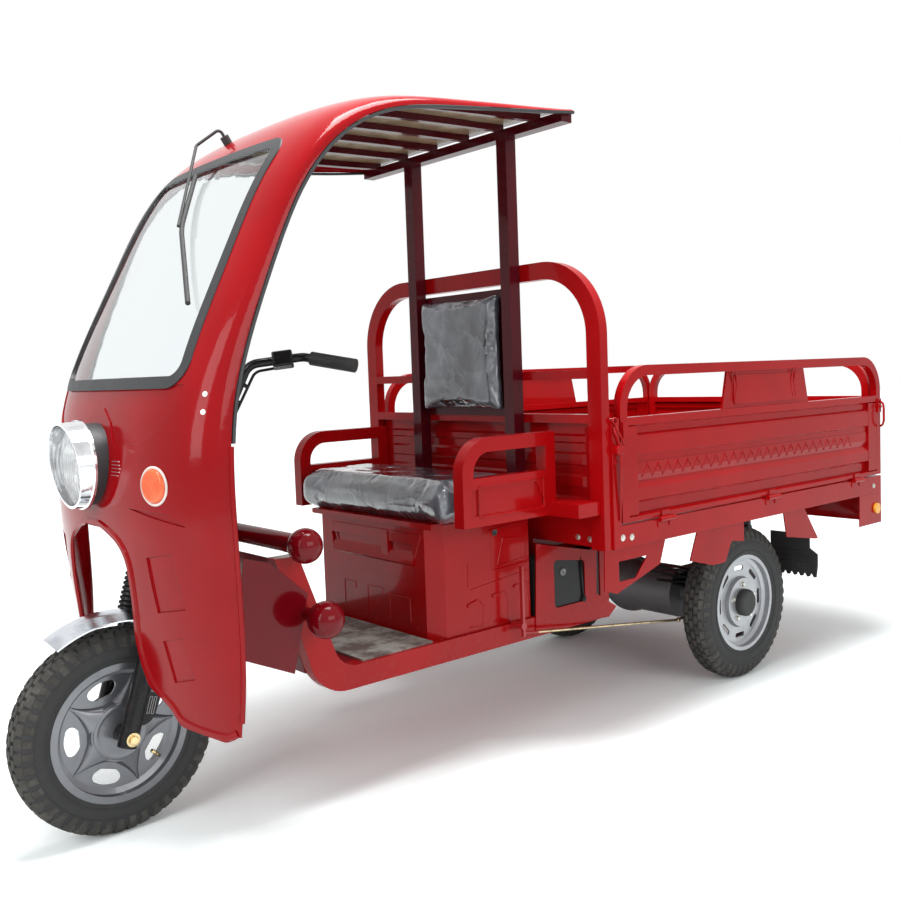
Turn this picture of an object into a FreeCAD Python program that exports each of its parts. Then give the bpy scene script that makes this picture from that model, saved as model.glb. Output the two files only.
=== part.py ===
# Electric cargo tricycle with a half cab and a drop-side bed.
# Lengths in millimetres. X points forward, Y to the rider's left, Z up.
# The frame's origin lies on the ground below the middle of the vehicle. Pieces are drawn from the
# rear axle's centre line and carried forward by their Placement.
import FreeCAD, Part
import math
import os

import Sketcher

Vector = FreeCAD.Vector
Rotation = FreeCAD.Rotation

document = FreeCAD.newDocument("CargoTricycle")
sheet = document.addObject("Spreadsheet::Sheet", "Sizes")

OVERALL = {
    "wheelbase": 2032,
    "rear_track_half": 389,
    "front_tyre_radius": 248,
    "front_tyre_half": 46,
    "rear_tyre_radius": 259,
    "rear_tyre_half": 49,
    "running_gap": 6,
    "seat_gap": 0.3,
    "overrun": 20,
}
WHEELS = {
    "tyre_crown_half": 30,
    "tyre_shoulder_bend": 16,
    "tyre_wall_depth": 44,
    "tyre_wall_bend": 26,
    "tyre_bead_half": 34,
    "rim_flange_radius": 168,
    "rim_seat_radius": 155,
    "rim_well_radius": 142,
    "rim_half": 41,
    "rim_flange_thick": 3,
    "rim_wall": 4,
    "rim_well_half": 14,
    "rim_well_slope": 9,
    "disc_thick": 5,
    "disc_set": 12,
    "drum_radius": 76,
    "drum_half": 32,
    "hub_radius": 24,
    "axle_radius": 10,
    "bearing_gap": 0.08,
    "star_window_inner": 92,
    "star_window_outer": 132,
    "star_window_inner_half": 20,
    "star_window_outer_half": 50,
    "star_window_bend": 14,
    "rear_slot_radius": 116,
    "rear_slot_deep": 16,
    "rear_slot_half": 26,
    "rear_slot_bend": 7,
    "rear_drum_radius": 88,
    "cap_radius": 46,
    "cap_reach": 26,
    "cap_bend": 14,
}
STEERING = {
    "rake_angle": 17.1,
    "fork_offset": 45,
    "leg_half_spread": 82,
    "leg_radius": 18,
    "leg_low_radius": 23,
    "leg_low_length": 210,
    "clamp_low": 418,
    "clamp_gap": 250,
    "clamp_thick": 26,
    "clamp_half": 26,
    "stem_radius": 15,
    "head_radius": 27,
    "coil_radius": 27.5,
    "coil_root": 22,
    "coil_turns": 9,
    "brake_plate_thick": 4,
    "spring_low": 262,
    "spring_top": 372,
    "bar_radius": 11,
    "top_clamp_half": 60,
    "bar_clamp_half": 16,
    "bar_clamp_y": 40,
    "bar_rise_behind": 272,
    "bar_rise_z": 947,
    "bar_mount_half": 84,
    "bar_lift_behind": 317,
    "bar_lift_z": 1118,
    "bar_lift_half": 165,
    "bar_grip_behind": 428,
    "bar_grip_z": 1132,
    "bar_grip_half": 240,
    "bar_end_behind": 502,
    "bar_end_z": 1106,
    "bar_end_half": 352,
    "bar_bend": 42,
    "switch_long": 50,
    "switch_tall": 40,
    "switch_deep": 34,
    "switch_bend": 5,
    "toggle_reach": 10,
    "toggle_half": 5,
    "cable_radius": 3.5,
    "cable_set": 18,
    "cable_bend": 30,
    "grip_radius": 17,
    "grip_length": 118,
    "guard_radius": 290,
    "guard_thick": 3,
    "guard_half": 54,
    "guard_start_angle": 58,
    "guard_sweep_angle": 95,
}
CAB = {
    "cab_wall": 4,
    "hem_ahead": 18, "hem_z": 292, "hem_half": 440, "hem_depth": 122, "hem_fullness": 1.25,
    "wing_ahead": 23, "wing_z": 560, "wing_half": 440, "wing_depth": 142, "wing_fullness": 1.9,
    "nose_ahead": 24, "nose_z": 800, "nose_half": 440, "nose_depth": 138, "nose_fullness": 2.4,
    "brow_ahead": -2, "brow_z": 1010, "brow_half": 438, "brow_depth": 122, "brow_fullness": 2.5,
    "screen_ahead": -164, "screen_z": 1360, "screen_half": 430, "screen_depth": 78,
    "screen_fullness": 2.5,
    "lintel_ahead": -342, "lintel_z": 1640, "lintel_half": 440, "lintel_depth": 62,
    "lintel_fullness": 2.5,
    "front_roof_ahead": -482, "front_roof_z": 1744, "front_roof_half": 456,
    "front_roof_depth": 62, "front_roof_fullness": 2.5,
    "mid_roof_x": 1300, "mid_roof_z": 1788, "mid_roof_half": 468, "mid_roof_depth": 51,
    "mid_roof_fullness": 2.5,
    "back_roof_x": 1010, "back_roof_z": 1797, "back_roof_half": 473, "back_roof_depth": 30,
    "back_roof_fullness": 2.5,
    "rear_roof_x": 852, "rear_roof_z": 1802, "rear_roof_half": 475, "rear_roof_depth": 17,
    "rear_roof_fullness": 2.5,
    "arch_top_z": 748, "arch_top_half": 70,
    "arch_brow_z": 700, "arch_brow_half": 165,
    "arch_side_z": 600, "arch_side_half": 180,
    "arch_waist_z": 490, "arch_waist_half": 166,
    "arch_knee_z": 395, "arch_knee_half": 190,
    "arch_foot_z": 350, "arch_foot_half": 262,
    "arch_tip_z": 314, "arch_tip_half": 280,
    "arch_hem_z": 296, "arch_hem_half": 412,
    "arch_corner_z": 336, "arch_corner_half": 466,
    "arch_bend": 30,
    "bead_radius": 6,
    "bead_top_z": 940,
    "recess_deep": 5,
    "crease_deep": 3,
    "upper_pocket_top_z": 712, "upper_pocket_low_z": 574,
    "upper_pocket_inner": 252, "upper_pocket_outer": 352,
    "lower_pocket_top_z": 524, "lower_pocket_low_z": 415,
    "lower_pocket_inner": 268, "lower_pocket_outer": 344,
    "ledge_tip_half": 190, "ledge_tip_z": 804,
    "ledge_end_half": 380, "ledge_end_z": 772,
    "ledge_back_half": 336, "ledge_back_z": 798,
    "crease_top_half": 350, "crease_top_z": 1076,
    "crease_side_half": 334, "crease_side_z": 1010,
    "crease_turn_half": 290, "crease_turn_z": 975,
    "crease_low_half": 228, "crease_low_z": 948,
    "crease_lamp_half": 112, "crease_lamp_z": 940,
    "crease_eye_half": 76, "crease_eye_z": 994,
    "crease_peak_half": 26, "crease_peak_z": 1026,
    "glass_low_z": 1085,
    "glass_low_half": 338,
    "glass_top_z": 1632,
    "glass_top_half": 312,
    "glass_bend": 42,
    "glass_thick": 5,
    "seal_width": 17,
    "seal_lap": 3,
    "trim_thick": 7,
    "trim_lap": 3,
    "lamp_z": 895,
    "lamp_radius": 103,
    "lamp_ring_wall": 5,
    "lamp_front_ahead": 74,
    "lamp_flange_ahead": 46,
    "lamp_flange_thick": 8,
    "lamp_body_radius": 92,
    "lamp_body_deep": 78,
    "lamp_visor": 22,
    "lamp_seat_radius": 97,
    "lamp_seat_deep": 60,
    "lens_dome": 14,
    "lens_edge": 5,
    "signal_ahead": -9,
    "signal_y": 296,
    "signal_z": 858,
    "signal_radius": 43,
    "signal_bezel": 8,
    "signal_lens_radius": 37,
    "signal_lens_thick": 16,
    "signal_lens_bend": 7,
    "signal_root": 40,
    "signal_turn_angle": 15,
    "liner_thick": 3,
    "roof_rib_half": 10,
    "roof_rib_deep": 18,
    "roof_rib_pitch": 150,
    "roof_beam_tall": 26,
    "wiper_pivot_z": 1716, "wiper_pivot_y": -92,
    "wiper_elbow_z": 1672, "wiper_elbow_y": -108,
    "wiper_joint_z": 1448, "wiper_joint_y": 78,
    "blade_top_z": 1598, "blade_top_y": -24,
    "blade_low_z": 1256, "blade_low_y": 284,
    "wiper_arm_radius": 4,
    "wiper_bend": 12,
    "wiper_stand": 44,
    "blade_stand": 12,
    "blade_bend": 260,
    "trim_gap": 1.7,
}
FRAME = {
    "rail_half": 300,
    "rail_wide": 40,
    "rail_low_z": 295,
    "rail_tall": 59,
    "rail_rear_x": 555,
    "rail_toe_behind": 400,
    "rail_toe_bend": 110,
    "rail_head_behind": 288,
    "rail_head_z": 655,
    "rail_slope_wide": 64,
    "rail_inner_bend": 70,
    "upper_rail_half": 230,
    "upper_rail_wide": 40,
    "upper_rail_tall": 50,
    "bulkhead_thick": 3,
    "floor_plate_thick": 3,
    "mat_thick": 5,
    "mat_inset": 12,
    "cross_tube_behind": 328,
    "cross_tube_z": 690,
    "cross_tube_radius": 24,
    "cross_ball_radius": 42,
    "cross_ball_y": 372,
    "low_ball_behind": 370,
    "low_ball_z": 509,
    "low_ball_radius": 45,
    "low_ball_y": 382,
    "low_stub_radius": 17,
    "head_gusset_half": 22,
    "wing_plate_thick": 3,
    "wing_plate_high_behind": 270, "wing_plate_high_z": 651,
    "wing_plate_front_behind": 203, "wing_plate_front_z": 670,
    "wing_plate_nose_behind": 176, "wing_plate_nose_z": 441,
    "wing_plate_low_behind": 326, "wing_plate_low_z": 372,
    "wing_plate_back_behind": 372, "wing_plate_back_z": 560,
    "side_plate_thick": 4,
    "side_plate_front_x": 888, "side_plate_front_z": 313,
    "side_plate_top_x": 876,
    "side_plate_step_x": 613, "side_plate_step_z": 513,
    "side_plate_waist_x": 618, "side_plate_waist_z": 379,
    "side_plate_toe_x": 525, "side_plate_toe_z": 322,
    "side_plate_heel_x": 562,
    "side_window_front_x": 805, "side_window_rear_x": 670,
    "side_window_low_z": 366, "side_window_top_z": 512,
    "side_window_bend": 14,
}
SEAT = {
    "box_front_x": 1254,
    "box_rear_x": 893,
    "box_half": 289,
    "box_top_z": 668,
    "box_wall": 3,
    "box_corner": 38,
    "lid_hinge_half": 160,
    "lid_front_x": 1262,
    "lid_half": 294,
    "lid_thick": 3,
    "lid_lip": 12,
    "box_pocket_half": 200,
    "box_pocket_low_z": 512,
    "box_pocket_top_z": 610,
    "box_pocket_slant": 14,
    "box_pocket_deep": 7,
    "hasp_y": 73,
    "hasp_half": 15,
    "hasp_low_z": 560,
    "hasp_top_z": 640,
    "hasp_bend": 6,
    "lid_gap": 3,
    "hinge_radius": 8,
    "cushion_rear_x": 955,
    "cushion_front_x": 1285,
    "cushion_thick": 112,
    "cushion_bend": 30,
    "cushion_half": 366,
    "arm_low_z": 672,
    "arm_top_z": 906,
    "arm_front_x": 1247,
    "arm_rear_x": 900,
    "arm_tube": 38,
    "arm_outer_y": 413,
    "arm_bend": 95,
    "arm_panel_z": 800,
    "arm_panel_deep": 5,
    "back_half": 196,
    "back_low_z": 945,
    "back_top_z": 1326,
    "back_thick": 46,
    "back_board": 6,
}
BED = {
    "bed_half": 550,
    "bed_front_x": 815,
    "bed_rear_x": -732,
    "bed_low_z": 571,
    "bed_top_z": 635,
    "bed_beam": 40,
    "bed_floor_thick": 3,
    "gate_top_z": 937,
    "gate_rail_z": 1083,
    "gate_thick": 25,
    "gate_skin": 3,
    "gate_tube": 30,
    "gate_rail_bend": 110,
    "gate_flange_z": 915,
    "gate_groove_top_z": 908, "gate_groove_low_z": 890, "gate_groove_deep": 12,
    "gate_ledge_top_z": 884, "gate_ledge_low_z": 877, "gate_ledge_deep": 3,
    "gate_panel_z": 837, "gate_panel_deep": 8,
    "gate_band_top_z": 806, "gate_band_low_z": 772, "gate_band_deep": 6,
    "gate_field_top_z": 746, "gate_field_low_z": 662, "gate_field_deep": 15,
    "gate_foot_z": 654,
    "rail_plate_half": 255,
    "rail_plate_thick": 8,
    "rail_plate_step": 60,
    "rail_plate_bend": 12,
    "hinge_pin": 4.5,
    "hinge_knuckle": 8,
    "hinge_length": 70,
    "hinge_leaf": 3,
    "latch_long": 62,
    "latch_half": 11,
    "latch_thick": 6,
    "corner_post": 32,
    "hoop_front_x": 847,
    "hoop_deep": 32,
    "hoop_wide": 50,
    "hoop_top_z": 1389,
    "hoop_inset": 7,
    "hoop_bend": 190,
    "hoop_bar": 25,
    "hoop_bar_low_z": 925,
    "hoop_bar_high_z": 1050,
    "post_wide": 40,
    "post_half": 220,
    "post_low_z": 700,
    "front_panel_thick": 3,
}
RUNNING_GEAR = {
    "axle_tube_radius": 30,
    "back_plate_radius": 92,
    "back_plate_thick": 5,
    "motor_radius": 92,
    "motor_half": 120,
    "diff_radius": 105,
    "diff_y": -60,
    "leaf_half_span": 340,
    "leaf_wide": 45,
    "leaf_thick": 7,
    "leaf_count": 4,
    "leaf_bow_share": 1.4,
    "leaf_eye_z": 452,
    "leaf_eye_radius": 16,
    "leaf_y": 210,
    "battery_front_x": 878,
    "battery_rear_x": 600,
    "battery_inner_y": 210,
    "battery_outer_y": 298,
    "battery_top_z": 520,
    "bracket_inset": 38,
    "bracket_thick": 4,
    "window_bracket_front_x": 818, "window_bracket_nose_x": 822, "window_bracket_nose_z": 451,
    "window_bracket_low_x": 769, "window_bracket_low_z": 435,
    "window_bracket_rear_x": 571, "window_bracket_rear_z": 492,
    "window_bracket_top_x": 540,
    "bracket_window_front_x": 759, "bracket_window_top_z": 526, "bracket_window_low_z": 468,
    "bracket_window_rear_x": 629, "bracket_window_toe_x": 686,
    "wheel_bracket_front_x": 382, "wheel_bracket_nose_x": 423, "wheel_bracket_nose_z": 477,
    "wheel_bracket_low_x": 306, "wheel_bracket_low_z": 446,
    "wheel_bracket_heel_x": 238,
    "wheel_bracket_arch_x": 202, "wheel_bracket_arch_z": 509,
    "wheel_bracket_rear_x": 132, "wheel_bracket_rear_z": 499,
    "flap_hanger_front_x": -106, "flap_hanger_rear_x": -235,
    "flap_thick": 6,
    "flap_low_z": 300,
    "flap_top_z": 455,
    "flap_rear_x": -330,
    "flap_half_wide": 85,
    "flap_tooth_deep": 7,
    "flap_hanger_lap": 20,
    "tail_low_z": 457,
    "tail_panel_long": 164,
    "tail_panel_thick": 4,
    "marker_radius": 20,
    "marker_thick": 8,
    "pedal_x": 975,
    "pedal_pivot_z": 352,
    "pedal_y": 345,
    "rod_radius": 4,
    "rod_end_x": 236, "rod_end_z": 226,
    "brake_arm_half": 4,
}

for row, (alias, value) in enumerate(
    (pair for group in (OVERALL, WHEELS, STEERING, CAB, FRAME, SEAT, BED, RUNNING_GEAR)
     for pair in group.items()), start=1):
    sheet.set(f"A{row}", alias)
    sheet.set(f"B{row}", str(value))
    sheet.setAlias(f"B{row}", alias)
document.recompute()


class Size:
    """A size of the sheet, or one worked out from such sizes: its number and its expression."""

    def __init__(self, number, text):
        self.number = number
        self.text = text

    def join(self, other, sign, work, swapped=False):
        other = other if isinstance(other, Size) else Size(other, repr(other))
        first, second = (other, self) if swapped else (self, other)
        return Size(work(first.number, second.number), f"({first.text} {sign} {second.text})")

    def __add__(self, other):
        return self.join(other, "+", lambda a, b: a + b)

    def __radd__(self, other):
        return self.join(other, "+", lambda a, b: a + b, True)

    def __sub__(self, other):
        return self.join(other, "-", lambda a, b: a - b)

    def __rsub__(self, other):
        return self.join(other, "-", lambda a, b: a - b, True)

    def __mul__(self, other):
        return self.join(other, "*", lambda a, b: a * b)

    def __rmul__(self, other):
        return self.join(other, "*", lambda a, b: a * b, True)

    def __truediv__(self, other):
        return self.join(other, "/", lambda a, b: a / b)

    def __rtruediv__(self, other):
        return self.join(other, "/", lambda a, b: a / b, True)

    def __neg__(self):
        return Size(-self.number, f"(-1 * {self.text})")


class Sheet:
    """The sizes of the sheet by name."""

    def __getattr__(self, alias):
        return Size(float(sheet.get(alias)), f"Sizes.{alias}")


def sine(angle):
    return Size(math.sin(math.radians(angle.number)), f"sin({angle.text})")


def cosine(angle):
    return Size(math.cos(math.radians(angle.number)), f"cos({angle.text})")


def number(size):
    return size.number if isinstance(size, Size) else float(size)


def bind(item, path, size):
    """Ties a property of an item to its size."""
    if isinstance(size, Size):
        item.setExpression(path, size.text)


s = Sheet()
LEFT_AND_RIGHT = (1, -1)
SIDE_NAME = {1: "left", -1: "right"}
hinge_reach = s.hinge_knuckle + s.hinge_pin / 3
rear_reach = s.hinge_knuckle + hinge_reach - s.bed_rear_x
forward = (rear_reach - s.wheelbase - s.front_tyre_radius) / 2
front_x = s.wheelbase
nose_x = front_x + s.nose_ahead
front_roof_x = front_x + s.front_roof_ahead
toe_x = front_x - s.rail_toe_behind
head_x = front_x - s.rail_head_behind
hoop_half = s.bed_half - s.hoop_inset
bracket_y = s.bed_half - s.bracket_inset
nodes = {}


def finish(item, label, x=0, y=0, z=0):
    """Names a finished sub-part and carries it from the rear axle to the vehicle's own origin."""
    item.Label = label
    for axis, size in (("x", x), ("y", y), ("z", z)):
        total = forward + size if axis == "x" else size
        bind(item, f"Placement.Base.{axis}", total)
    nodes[label] = item
    return item


def box(x0, x1, y0, y1, z0, z1):
    item = document.addObject("Part::Box", "Block")
    bind(item, "Length", x1 - x0)
    bind(item, "Width", y1 - y0)
    bind(item, "Height", z1 - z0)
    bind(item, "Placement.Base.x", x0)
    bind(item, "Placement.Base.y", y0)
    bind(item, "Placement.Base.z", z0)
    return item


ALONG = {
    "X": Rotation(Vector(0, 1, 0), 90),
    "Y": Rotation(Vector(1, 0, 0), -90),
    "Z": Rotation(),
}


def rod(axis, radius, length, x, y, z):
    """A round bar that starts at x, y, z and runs along one axis."""
    item = document.addObject("Part::Cylinder", "Rod")
    bind(item, "Radius", radius)
    bind(item, "Height", length)
    item.Placement.Rotation = ALONG[axis]
    bind(item, "Placement.Base.x", x)
    bind(item, "Placement.Base.y", y)
    bind(item, "Placement.Base.z", z)
    return item


def ball(radius, x, y, z):
    item = document.addObject("Part::Sphere", "Ball")
    bind(item, "Radius", radius)
    bind(item, "Placement.Base.x", x)
    bind(item, "Placement.Base.y", y)
    bind(item, "Placement.Base.z", z)
    return item


def fuse(*items):
    item = document.addObject("Part::MultiFuse", "Union")
    item.Shapes = list(items)
    item.Refine = True
    return item


def cut(base, *tools):
    item = document.addObject("Part::Cut", "Cutting")
    item.Base = base
    item.Tool = tools[0] if len(tools) == 1 else fuse(*tools)
    item.Refine = True
    return item


def both_sides(item):
    """A piece and its mirror image across the vehicle's middle plane."""
    twin = document.addObject("Part::Mirroring", "Twin")
    twin.Source = item
    twin.Normal = Vector(0, 1, 0)
    return fuse(item, twin)


def new_sketch(body, plane, offset=0):
    sketch = body.newObject("Sketcher::SketchObject", "Sketch")
    planes = {feature.Role: feature for feature in body.Origin.OriginFeatures}
    sketch.AttachmentSupport = [(planes[f"{plane}_Plane"], "")]
    sketch.MapMode = "FlatFace"
    bind(sketch, "AttachmentOffset.Base.z", offset)
    return sketch


def pin_point(sketch, geometry, position, point):
    """Fixes one end of a line, or a circle's centre, at sizes from the sketch's origin."""
    for kind, size in (("DistanceX", point[0]), ("DistanceY", point[1])):
        index = sketch.addConstraint(
            Sketcher.Constraint(kind, -1, 1, geometry, position, number(size)))
        bind(sketch, f"Constraints[{index}]", size)


def draw(sketch, outline, closed=True):
    """Draws an outline through points x, y or x, y, bend radius, each tied to its sizes."""
    ends = [Vector(number(point[0]), number(point[1]), 0) for point in outline]
    pairs = list(zip(ends, ends[1:] + ends[:1]))
    if not closed:
        pairs.pop()
    lines = [sketch.addGeometry(Part.LineSegment(a, b), False) for a, b in pairs]
    for first, second in zip(lines, lines[1:]):
        sketch.addConstraint(Sketcher.Constraint("Coincident", first, 2, second, 1))
    if closed:
        sketch.addConstraint(Sketcher.Constraint("Coincident", lines[-1], 2, lines[0], 1))
    for line, point in zip(lines, outline):
        pin_point(sketch, line, 1, point)
    if not closed:
        pin_point(sketch, lines[-1], 2, outline[-1])
    for place, point in enumerate(outline):
        if len(point) < 3:
            continue
        before, after = lines[place - 1], lines[place]
        near = [(ends[place] + ends[other]) / 2 for other in (place - 1, (place + 1) % len(ends))]
        sketch.fillet(before, after, near[0], near[1], number(point[2]), True, True)
        arc = sketch.GeometryCount - 2
        index = sketch.addConstraint(Sketcher.Constraint("Radius", arc, number(point[2])))
        bind(sketch, f"Constraints[{index}]", point[2])
    return lines


def draw_circle(sketch, x, y, radius):
    centre = Vector(number(x), number(y), 0)
    circle = sketch.addGeometry(Part.Circle(centre, Vector(0, 0, 1), number(radius)), False)
    pin_point(sketch, circle, 3, (x, y))
    index = sketch.addConstraint(Sketcher.Constraint("Radius", circle, number(radius)))
    bind(sketch, f"Constraints[{index}]", radius)


def prism(plane, outline, start, end, holes=(), circles=()):
    """A plate or block: an outline in one plane, padded from start to end along the third axis."""
    body = document.addObject("PartDesign::Body", "Plate")
    offset = -end if plane == "XZ" else start
    sketch = new_sketch(body, plane, offset)
    draw(sketch, outline)
    for hole in holes:
        draw(sketch, hole)
    for circle in circles:
        draw_circle(sketch, *circle)
    pad = body.newObject("PartDesign::Pad", "Pad")
    pad.Profile = sketch
    bind(pad, "Length", end - start)
    return body


def lathe(plane, outline, axis):
    """A turned piece: an outline revolved about a sketch axis, V_Axis or H_Axis."""
    body = document.addObject("PartDesign::Body", "Turning")
    sketch = new_sketch(body, plane)
    draw(sketch, outline)
    turning = body.newObject("PartDesign::Revolution", "Revolution")
    turning.Profile = sketch
    turning.ReferenceAxis = (sketch, [axis])
    turning.Angle = 360
    return body


def pattern_round(body, feature, axis, count):
    """Repeats a feature evenly about an axis of the body."""
    planes = {item.Role: item for item in body.Origin.OriginFeatures}
    pattern = body.newObject("PartDesign::PolarPattern", "Round")
    pattern.Originals = [feature]
    pattern.Axis = (planes[f"{axis}_Axis"], [""])
    pattern.Angle = 360
    pattern.Occurrences = count
    body.Tip = pattern
    return pattern


def pocket(body, plane, outline, start, end):
    """Cuts an outline out of a body between start and end along the third axis."""
    sketch = new_sketch(body, plane, -end if plane == "XZ" else start)
    draw(sketch, outline)
    pocketing = body.newObject("PartDesign::Pocket", "Pocket")
    pocketing.Profile = sketch
    pocketing.Reversed = True
    bind(pocketing, "Length", end - start)
    return pocketing


def bent_tube(plane, path, across, profile_plane, centre, section, offset, bend=None):
    """A tube swept along a path in one plane, from a section drawn square to its first run."""
    body = document.addObject("PartDesign::Body", "Tube")
    spine = new_sketch(body, plane, across)
    draw(spine, path, closed=False)
    profile = new_sketch(body, profile_plane, offset)
    wide, deep = section
    corners = [(centre[0] + wide / 2 * a, centre[1] + deep / 2 * b)
               for a, b in ((-1, -1), (1, -1), (1, 1), (-1, 1))]
    if bend is not None:
        corners = [(*corner, bend) for corner in corners]
    draw(profile, corners)
    pipe = body.newObject("PartDesign::AdditivePipe", "Sweep")
    pipe.Profile = profile
    pipe.Spine = spine
    return body


def by_code(shape):
    item = document.addObject("Part::Feature", "Form")
    item.Shape = shape
    return item


def round_path(points, bend):
    """A wire through points with each inner corner rounded by an arc."""
    edges = []
    start = points[0]
    for before, corner, after in zip(points, points[1:], points[2:]):
        into = (corner - before).normalize()
        out = (after - corner).normalize()
        half_turn = into.getAngle(out) / 2
        trim = bend * math.tan(half_turn)
        first = corner - into * trim
        last = corner + out * trim
        bisector = (out - into).normalize()
        middle = corner + bisector * (bend / math.cos(half_turn) - bend)
        edges.append(Part.LineSegment(start, first).toShape())
        edges.append(Part.Arc(first, middle, last).toShape())
        start = last
    edges.append(Part.LineSegment(start, points[-1]).toShape())
    return Part.Wire(edges)


def round_tube(points, bend, radius):
    """A round bar along a path of points with rounded corners."""
    path = round_path(points, bend) if len(points) > 2 else Part.Wire(
        [Part.LineSegment(points[0], points[1]).toShape()])
    ring = Part.Wire([Part.Circle(points[0], points[1] - points[0], radius).toShape()])
    return path.makePipeShell([ring], True, False)


# Wheels: the tyre, the pressed rim with its disc and drum, and the rear hub caps.
def tyre(radius, half):
    wall_radius = radius - s.tyre_wall_depth
    return lathe("XY", [
        (s.rim_seat_radius + s.seat_gap, -s.tyre_bead_half),
        (wall_radius, -half, s.tyre_wall_bend),
        (radius, -s.tyre_crown_half, s.tyre_shoulder_bend),
        (radius, s.tyre_crown_half, s.tyre_shoulder_bend),
        (wall_radius, half, s.tyre_wall_bend),
        (s.rim_seat_radius + s.seat_gap, s.tyre_bead_half),
    ], "V_Axis")


def wheel(drum_radius):
    """A rim, disc and drum turned about the axle as one pressing."""
    seat = s.rim_seat_radius
    well = s.rim_well_radius
    wall = s.rim_wall
    flange = s.rim_half - s.rim_flange_thick
    slope = s.rim_well_half + s.rim_well_slope
    disc_in = s.disc_set
    disc_out = s.disc_set + s.disc_thick
    return lathe("XY", [
        (s.axle_radius + s.bearing_gap, -s.drum_half),
        (drum_radius, -s.drum_half),
        (drum_radius, disc_in),
        (well - wall, disc_in),
        (well - wall, -s.rim_well_half),
        (seat - wall, -slope),
        (seat - wall, -s.rim_half),
        (s.rim_flange_radius, -s.rim_half),
        (s.rim_flange_radius, -flange),
        (seat, -flange),
        (seat, -slope - wall / 2),
        (well, -s.rim_well_half - wall / 2),
        (well, s.rim_well_half + wall / 2),
        (seat, slope + wall / 2),
        (seat, flange),
        (s.rim_flange_radius, flange),
        (s.rim_flange_radius, s.rim_half),
        (seat - wall, s.rim_half),
        (seat - wall, slope),
        (well - wall, disc_out),
        (drum_radius, disc_out),
        (drum_radius - s.disc_thick, s.drum_half),
        (s.hub_radius, s.drum_half),
        (s.hub_radius, s.drum_half + s.disc_thick),
        (s.axle_radius + s.bearing_gap, s.drum_half + s.disc_thick),
    ], "V_Axis")


def build_front_wheel():
    finish(tyre(s.front_tyre_radius, s.front_tyre_half), "front_tyre",
           s.wheelbase, 0, s.front_tyre_radius)
    body = wheel(s.drum_radius)
    window = pocket(body, "XZ", [
        (s.star_window_inner, -s.star_window_inner_half, s.star_window_bend),
        (s.star_window_outer - s.star_window_bend, -s.star_window_outer_half, s.star_window_bend),
        (s.star_window_outer, 0, s.star_window_outer / 2),
        (s.star_window_outer - s.star_window_bend, s.star_window_outer_half, s.star_window_bend),
        (s.star_window_inner, s.star_window_inner_half, s.star_window_bend),
    ], s.disc_set - s.overrun / 4, s.disc_set + s.disc_thick + s.overrun / 4)
    pattern_round(body, window, "Y", 5)
    finish(body, "front_wheel_disc", s.wheelbase, 0, s.front_tyre_radius)


def build_rear_wheel(side):
    name = SIDE_NAME[side]
    centre = s.rear_track_half * side
    finish(tyre(s.rear_tyre_radius, s.rear_tyre_half), f"rear_tyre_{name}",
           0, centre, s.rear_tyre_radius)
    body = wheel(s.rear_drum_radius)
    slot = pocket(body, "XZ", [
        (s.rear_slot_radius - s.rear_slot_deep / 2, -s.rear_slot_half, s.rear_slot_bend),
        (s.rear_slot_radius + s.rear_slot_deep / 2, -s.rear_slot_half, s.rear_slot_bend),
        (s.rear_slot_radius + s.rear_slot_deep / 2, s.rear_slot_half, s.rear_slot_bend),
        (s.rear_slot_radius - s.rear_slot_deep / 2, s.rear_slot_half, s.rear_slot_bend),
    ], s.disc_set - s.overrun / 4, s.disc_set + s.disc_thick + s.overrun / 4)
    pattern_round(body, slot, "Y", 8)
    finish(body, f"rear_wheel_disc_{name}", 0, centre, s.rear_tyre_radius)
    seat = s.drum_half + s.seat_gap
    cap = lathe("XY", [
        (s.hub_radius + s.bearing_gap, seat),
        (s.cap_radius, seat),
        (s.cap_radius, seat + s.cap_reach, s.cap_bend),
        (0, seat + s.cap_reach),
        (0, seat + s.cap_reach - s.disc_thick),
        (s.hub_radius + s.bearing_gap, seat + s.cap_reach - s.disc_thick),
    ], "V_Axis")
    finish(cap, f"hub_cap_{name}", 0, centre, s.rear_tyre_radius)
    for item in (body, cap):
        if side < 0:
            item.Placement.Rotation = Rotation(Vector(0, 0, 1), 180)


# Steering: everything that turns with the handlebar about the raked head tube.
def rake_x(reach, back=0):
    """X of a point at a reach up the fork legs from the axle, and a distance behind them."""
    return s.wheelbase - reach * sine(s.rake_angle) - back * cosine(s.rake_angle)


def rake_z(reach, back=0):
    """Z of the same point."""
    return s.front_tyre_radius + reach * cosine(s.rake_angle) - back * sine(s.rake_angle)


def raked(item, reach, back, y):
    """Sets a piece square to the fork legs."""
    item.Placement.Rotation = Rotation(Vector(0, 1, 0), -s.rake_angle.number)
    bind(item, "Placement.Base.x", rake_x(reach, back))
    bind(item, "Placement.Base.y", y)
    bind(item, "Placement.Base.z", rake_z(reach, back))
    return item


def raked_rod(radius, low, top, back=0, y=0):
    """A round bar parallel to the fork legs, between two reaches."""
    return raked(rod("Z", radius, top - low, 0, 0, 0), low, back, y)


def raked_sleeve(radius, bore, low, top, back=0, y=0):
    hollow = raked_rod(bore, low - s.overrun, top + s.overrun, back, y)
    return cut(raked_rod(radius, low, top, back, y), hollow)


def raked_box(low, top, back, front, start_y, end_y):
    """A block square to the fork legs, from a distance behind them to one in front."""
    return raked(box(0, back + front, start_y, end_y, 0, top - low), low, back, start_y)


crown_top = s.clamp_low + s.clamp_thick
head_low = crown_top + s.running_gap / 2
head_top = crown_top + s.clamp_gap - s.running_gap / 2
stem_top = crown_top + s.clamp_gap + s.clamp_thick


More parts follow.
